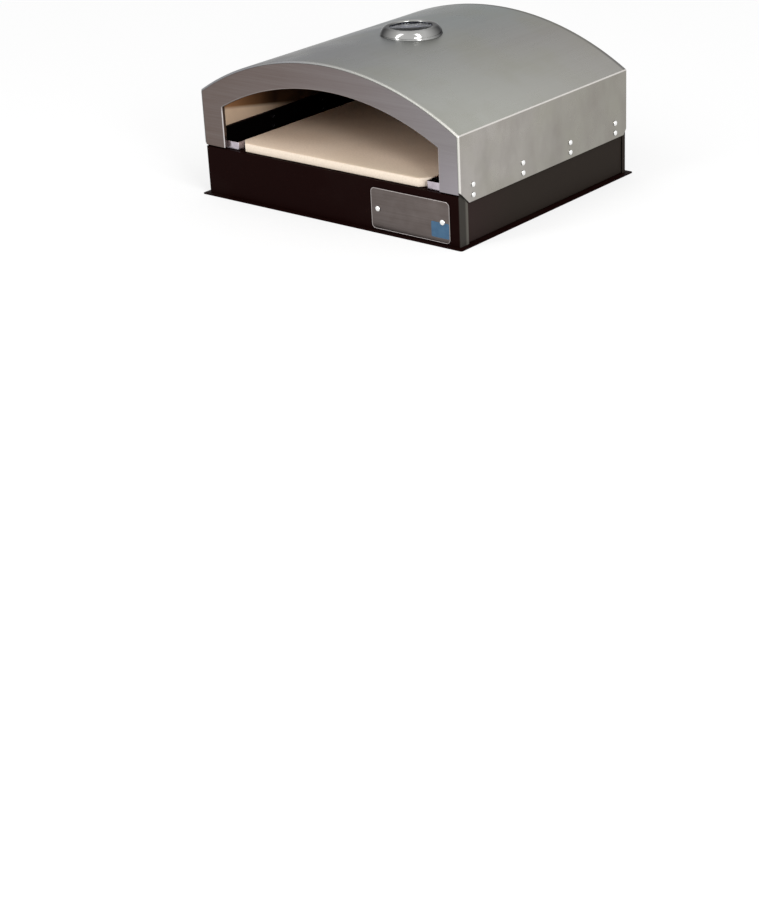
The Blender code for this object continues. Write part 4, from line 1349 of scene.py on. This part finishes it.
def buildClip(end, label):
    node = f"stone_clip_{end}_{label}"
    low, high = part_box(node)
    sheet = clip["sheet"]
    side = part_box("pizza_stone")[1].x + clip["gap"] + sheet / 2
    if end == "front":
        wall = low.y + sheet / 2
        path = [(max(abs(low.x), abs(high.x)), wall), (side, wall), (side, high.y)]
        foot = (0, clip["foot"], 0)
    else:
        wall = high.y - sheet / 2
        path = [(side - clip["rearReach"], wall), (side, wall), (side, low.y)]
        foot = (clip["rearFoot"], 0, 0)
    bm = prism(foldedOutline(path, sheet, clip["bend"], clip["bendSteps"]), low.z, high.z, upright)
    splitAt(bm, (0, 0, low.z + sheet), (0, 0, 1))

    def isFoot(middle, normal):
        if end == "front":
            facing = normal.y > modelling["squareOn"] and middle.y < low.y + clip["footDepth"]
        else:
            facing = normal.x > modelling["squareOn"] and middle.x > side
        return facing and middle.z < low.z + sheet

    pull(bm, isFoot, foot)
    bevelSharp(bm, clip["round"], clip["roundSteps"])
    if label == "left":
        mirror(bm)
    addPiece(f"stoneClip_{end}_{label}", bm, "clip", [node])


buildStone()
for end in ("front", "rear"):
    for label in ("left", "right"):
        buildClip(end, label)
print("stone and clips built")

# Rivets and screws

rivet = {
    "shank": 0.0018,
    "tail": 0.0026,
    "tailHeight": 0.001,
    "sideHeight": 0.0019,
    "plateHeight": 0.002,
    "steps": 32,
    "domeSteps": 7,
    "rim": 0.0002,
    "sharpAngle": 40,
}
screw = {"head": 0.0018, "shank": 0.0015}


def domedHead(radius, height):
    points = [(radius, 0), (radius, rivet["rim"])]
    for step in range(1, rivet["domeSteps"]):
        angle = math.pi / 2 * step / rivet["domeSteps"]
        points.append((radius * math.cos(angle), rivet["rim"] + (height - rivet["rim"]) * math.sin(angle)))
    return points + [(0, height)]


def headMesh(name, radius, height, tailDepth):
    profile = [
        (0, -tailDepth),
        (rivet["tail"], -tailDepth),
        (rivet["tail"], rivet["tailHeight"] - tailDepth),
        (rivet["shank"], rivet["tailHeight"] - tailDepth),
        (rivet["shank"], 0),
    ]
    bm = lathe(profile + domedHead(radius, height), rivet["steps"])
    return finishMesh(name, bm, "bright", rivet["sharpAngle"])


def buildSideRivets():
    names = [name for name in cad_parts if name.startswith("side_rivet_")]
    low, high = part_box(names[0])
    near, far = sorted((abs(low.x), abs(high.x)))
    seat = far - rivet["sideHeight"]
    mesh = headMesh("sideRivet", (high.z - low.z) / 2, rivet["sideHeight"], seat - near)
    for name in names:
        middle = middleOf(*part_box(name))
        sign = math.copysign(1, middle.x)
        place = Matrix.Translation((sign * seat, middle.y, middle.z))
        place = place @ Matrix.Rotation(sign * math.pi / 2, 4, "Y")
        addObject(name.replace("side_rivet", "rivet"), mesh, [name], place=place)


def buildPlateRivets():
    height = rivet["plateHeight"]
    for label in ("left", "right"):
        node = f"nameplate_rivet_{label}"
        low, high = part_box(node)
        middle = middleOf(low, high)
        mesh = headMesh("plateRivet", (high.z - low.z) / 2, height, high.y - low.y - height)
        place = Matrix.Translation((middle.x, low.y + height, middle.z))
        place = place @ Matrix.Rotation(math.pi / 2, 4, "X")
        addObject(f"plateRivet_{label}", mesh, [node], place=place)


def buildScrews():
    for node in [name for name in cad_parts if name.startswith("stone_clip_screw")]:
        low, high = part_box(node)
        middle = middleOf(low, high)
        tip = low.z - high.z + screw["head"]
        profile = [(0, tip), (screw["shank"], tip), (screw["shank"], 0)]
        bm = lathe(profile + domedHead((high.x - low.x) / 2, screw["head"]), rivet["steps"])
        bmesh.ops.translate(bm, vec=(middle.x, middle.y, high.z - screw["head"]), verts=bm.verts)
        addPiece(node.replace("stone_clip_screw", "clipScrew"), bm, "bright", [node])


buildSideRivets()
buildPlateRivets()
buildScrews()
print("rivets and screws built")

# Bare plate

plate = {
    "corner": 0.006,
    "cornerSteps": 8,
    "round": 0.0002,
    "roundSteps": 2,
    "rimWidth": 0.0009,
    "rimInset": 0.0003,
    "rimSlope": 0.0003,
    "rimHeight": 0.00018,
    "rimSink": 0.00002,
    "fieldWidth": 0.0265,
    "fieldHeight": 0.0190,
    "fieldCorner": 0.0015,
    "fieldCornerSteps": 4,
    "fieldInset": (0.0013, 0.0062),
    "fieldLift": 0.00012,
    "fieldGap": 0.00002,
}


def buildPlate():
    low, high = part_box("nameplate")
    middle = middleOf(low, high)
    width, _, height = high - low

    def outline(centreX, centreZ, wide, tall, corner, steps):
        return [(centreX + u, centreZ + v) for u, v in roundedRectangle(wide, tall, corner, steps)]

    edge = outline(middle.x, middle.z, width, height, plate["corner"], plate["cornerSteps"])
    bm = prism(edge, low.y, high.y, acrossY)
    bevelSharp(bm, plate["round"], plate["roundSteps"])

    # the raised line that runs round the plate, marked for its painted highlight
    fold = bm.verts.layers.float.new("fold")
    slope = plate["rimSlope"]
    loops = []
    for inset, lift in ((0, 0), (slope, 1), (plate["rimWidth"] - slope, 1), (plate["rimWidth"], 0)):
        reach = plate["rimInset"] + inset
        wide, tall = width - 2 * reach, height - 2 * reach
        rim = outline(middle.x, middle.z, wide, tall, plate["corner"] - reach, plate["cornerSteps"])
        y = low.y - plate["rimHeight"] * lift + plate["rimSink"] * (1 - lift)
        loops.append([bm.verts.new((x, y, z)) for x, z in rim])
        for vert in loops[-1]:
            vert[fold] = 1
    joinRings(bm, loops + loops[:1])
    addPiece("barePlate", bm, "plate", ["nameplate"])

    wide, tall = plate["fieldWidth"], plate["fieldHeight"]
    x = high.x - plate["fieldInset"][0] - wide / 2
    z = low.z + plate["fieldInset"][1] + tall / 2
    field = outline(x, z, wide, tall, plate["fieldCorner"], plate["fieldCornerSteps"])
    bm = prism(field, low.y - plate["fieldLift"], low.y - plate["fieldGap"], acrossY)
    addPiece("plateField", bm, "blue", [])


buildPlate()
print("plate built")

# Thermometer

gauge = {
    "steps": 128,
    "wall": 0.001,
    "window": 0.0265,
    "flank": (0.0134, 15, 42),  # radius, then where its arc starts and ends
    "top": 0.006,
    "arcSteps": 6,
    "lipSteps": 5,
    "collarIn": 0.0368,
    "collarOut": 0.0383,
    "collarFlare": 0.5,
    "collarGap": 0.0001,
    "lensRound": 0.0002,
    "lensRoundSteps": 2,
}
dial = {
    "bore": 0.0022,
    "sweep": 270,
    "start": 225,
    "numbers": 8,
    "ticksBetween": 5,
    "tickOut": 0.0248,
    "tick": (0.0222, 0.00035),  # where it starts, and half its width
    "smallTick": (0.0234, 0.00018),
    "numberRadius": 0.0175,
    "numberSize": 0.0052,
    "printLift": 0.00005,
}


def buildBezel():
    low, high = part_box("gauge_bezel")
    wall = gauge["wall"]
    flank, start, turn = gauge["flank"]
    start, turn = math.radians(start), math.radians(turn)
    topZ = high.z - gauge["top"]
    flankZ = topZ + (gauge["top"] - flank) * math.sin(turn)
    flankX = high.x - flank * math.cos(start)
    topX = flankX + (flank - gauge["top"]) * math.cos(turn)
    outer = [(high.x, low.z)]
    inner = [(high.x - wall, low.z)]
    arcs = [(flankX, flankZ, flank, start, turn), (topX, topZ, gauge["top"], turn, math.pi / 2)]
    for x, z, reach, begin, end in arcs:
        for step in range(gauge["arcSteps"] + 1):
            angle = begin + (end - begin) * step / gauge["arcSteps"]
            for side, radius in ((outer, reach), (inner, reach - wall)):
                across, up = polar(radius, angle)
                side.append((x + across, z + up))
    lip = []
    for step in range(gauge["lipSteps"] + 1):
        angle = math.pi / 2 * step / gauge["lipSteps"]
        lip.append((gauge["window"] + wall * (1 - math.sin(angle)), high.z - wall * (1 - math.cos(angle))))
    ring = lathe(outer + lip + inner[::-1], gauge["steps"], ring=True)
    addPiece("bezelRing", ring, "chrome", ["gauge_bezel"])


# The sloped collar that fills the space between the bezel and the curved skin.
def buildCollar():
    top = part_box("gauge_bezel")[0].z - gauge["collarGap"]
    inside, outside = gauge["collarIn"], gauge["collarOut"]
    bm = bmesh.new()
    rings = [[] for _ in range(4)]
    for step in range(gauge["steps"]):
        turn = Vector((*polar(1, math.tau * step / gauge["steps"]), 0))
        across = outside * turn.x
        skin = domeCentre + math.sqrt(domeRadius**2 - across**2) + gauge["collarGap"]
        foot = outside + (top - skin) * gauge["collarFlare"]
        corners = ((inside, top), (outside, top), (foot, skin), (inside, skin))
        for ring, (reach, height) in zip(rings, corners):
            ring.append(bm.verts.new(turn * reach + Vector((0, 0, height))))
    joinRings(bm, rings + rings[:1])
    addPiece("gaugeCollar", bm, "collar", [])


def buildLens():
    low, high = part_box("gauge_lens")
    profile = [(0, low.z), (high.x, low.z), (high.x, high.z), (0, high.z)]
    bm = lathe(profile, gauge["steps"])
    bevelSharp(bm, gauge["lensRound"], gauge["lensRoundSteps"])
    addPiece("lensDisc", bm, "glass", ["gauge_lens"])


def dialAngle(share):
    return math.radians(dial["start"] - dial["sweep"] * share)


def buildDial():
    low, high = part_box("gauge_dial")
    bore = dial["bore"]
    profile = [(bore, low.z), (high.x, low.z), (high.x, high.z), (bore, high.z)]
    disc = lathe(profile, gauge["steps"], ring=True)
    addPiece("dialDisc", disc, "dial", ["gauge_dial"])
    bm = bmesh.new()
    ticks = (dial["numbers"] - 1) * dial["ticksBetween"]
    for tick in range(ticks + 1):
        reach, thick = dial["smallTick"] if tick % dial["ticksBetween"] else dial["tick"]
        addBar(bm, dialAngle(tick / ticks), reach, dial["tickOut"], thick, high.z, high.z + dial["printLift"])
    addPiece("dialTicks", bm, "white", [])
    for number in range(dial["numbers"]):
        curve = bpy.data.curves.new(f"number_{number}", "FONT")
        curve.body = str(number)
        curve.size = dial["numberSize"]
        curve.align_x = "CENTER"
        curve.align_y = "CENTER"
        curve.extrude = dial["printLift"] / 2
        curve.materials.append(looks["white"])
        x, y = polar(dial["numberRadius"], dialAngle(number / (dial["numbers"] - 1)))
        place = Matrix.Translation((x, y, high.z + dial["printLift"] / 2))
        addObject(f"dialNumber_{number}", curve, [], place=place)


# A flat printed bar that points out from the middle.
def addBar(bm, angle, start, end, halfThick, low, high):
    turn = Matrix.Rotation(angle, 4, "Z")
    corners = [(start, -halfThick), (end, -halfThick), (end, halfThick), (start, halfThick)]
    lower = [bm.verts.new(turn @ Vector((x, y, low))) for x, y in corners]
    upper = [bm.verts.new(turn @ Vector((x, y, high))) for x, y in corners]
    bm.faces.new(lower)
    bm.faces.new(upper)
    joinRings(bm, [lower, upper])


buildBezel()
buildCollar()
buildLens()
buildDial()
print("thermometer built")

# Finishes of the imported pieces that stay

kept = {
    "shell": ["back_panel"],
    "liner": ["liner_back_panel", "heat_diffuser"],
    "paint": ["stone_rear_rail"],
    "bright": ["gauge_case", "gauge_stem", "gauge_spacer", "gauge_washer", "gauge_nut"],
    "seal": ["gauge_gasket"],
    "needle": ["gauge_needle"],
    "brass": ["gauge_bush", "gauge_spindle"],
    "bimetal": ["gauge_bimetal_coil"],
}
for look, names in kept.items():
    for name in names:
        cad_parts[name].material_slots[0].material = looks[look]

# Floor, world and lamps

white = (1, 1, 1, 1)
studio = {
    "floorSize": 14,
    "floorColour": (0.97, 0.97, 0.97, 1),
    "floorGlow": 0.66,
    "floorFade": (0.8, 2.4),  # distances over which the floor turns as white as the backdrop
    "floorRoughness": 0.9,
    "floorSpecular": 0.1,
    "world": 0.72,
}

lamps = {
    "key": {"place": (2.45, -0.8, 2.3), "size": (0.55, 3.0), "power": 30},
    "front": {"place": (-0.8, -2.35, 2.0), "size": (0.5, 3.0), "power": 26},
    "low": {"place": (2.35, -1.45, 1.0), "size": (0.5, 0.5), "power": 28},
}


# White where it is looked at, seen in metal or seen through glass; softer as light on other surfaces.
def seenDirectly(tree):
    path = addNode(tree, "ShaderNodeLightPath").outputs
    seen = calc(tree, "MAXIMUM", path["Is Camera Ray"], path["Is Glossy Ray"])
    return calc(tree, "MAXIMUM", seen, path["Is Transmission Ray"])


def buildFloor():
    half = studio["floorSize"] / 2
    bm = bmesh.new()
    corners = ((-half, -half, 0), (half, -half, 0), (half, half, 0), (-half, half, 0))
    bm.faces.new([bm.verts.new(corner) for corner in corners])
    mesh = bpy.data.meshes.new("floor")
    bm.to_mesh(mesh)
    bm.free()
    floor = bpy.data.objects.new("floor", mesh)
    scene.collection.objects.link(floor)
    made, tree, shader = newMaterial("paleFloor")
    feedAll(tree, shader, {
        "Base Color": studio["floorColour"],
        "Roughness": studio["floorRoughness"],
        "Specular IOR Level": studio["floorSpecular"],
    })
    glow = addNode(tree, "ShaderNodeEmission", {"Color": white, "Strength": 1.0})
    glowing = ramp(tree, axisDistance(tree), *studio["floorFade"], studio["floorGlow"], 1.0)
    amount = times(tree, seenDirectly(tree), glowing)
    surface = addNode(tree, "ShaderNodeMixShader", {0: amount, 1: shader.outputs[0], 2: glow.outputs[0]})
    feed(tree, tree.nodes["Material Output"].inputs["Surface"], surface.outputs[0])
    mesh.materials.append(made)


def buildWorld():
    world = bpy.data.worlds.new("studio")
    scene.world = world
    world.use_nodes = True
    tree = world.node_tree
    strength = between(tree, seenDirectly(tree), studio["world"], 1.0)
    feedAll(tree, tree.nodes["Background"], {"Color": white, "Strength": strength})


def buildLamps():
    target = Vector((0, 0, crownZ / 2))
    for name, lamp in lamps.items():
        data = bpy.data.lights.new(name, "AREA")
        data.shape = "RECTANGLE"
        data.size, data.size_y = lamp["size"]
        data.energy = lamp["power"]
        made = bpy.data.objects.new(name, data)
        made.location = lamp["place"]
        aim = target - Vector(lamp["place"])
        made.rotation_euler = aim.to_track_quat("-Z", "Y").to_euler()
        scene.collection.objects.link(made)


buildFloor()
buildWorld()
buildLamps()
print("studio ready")
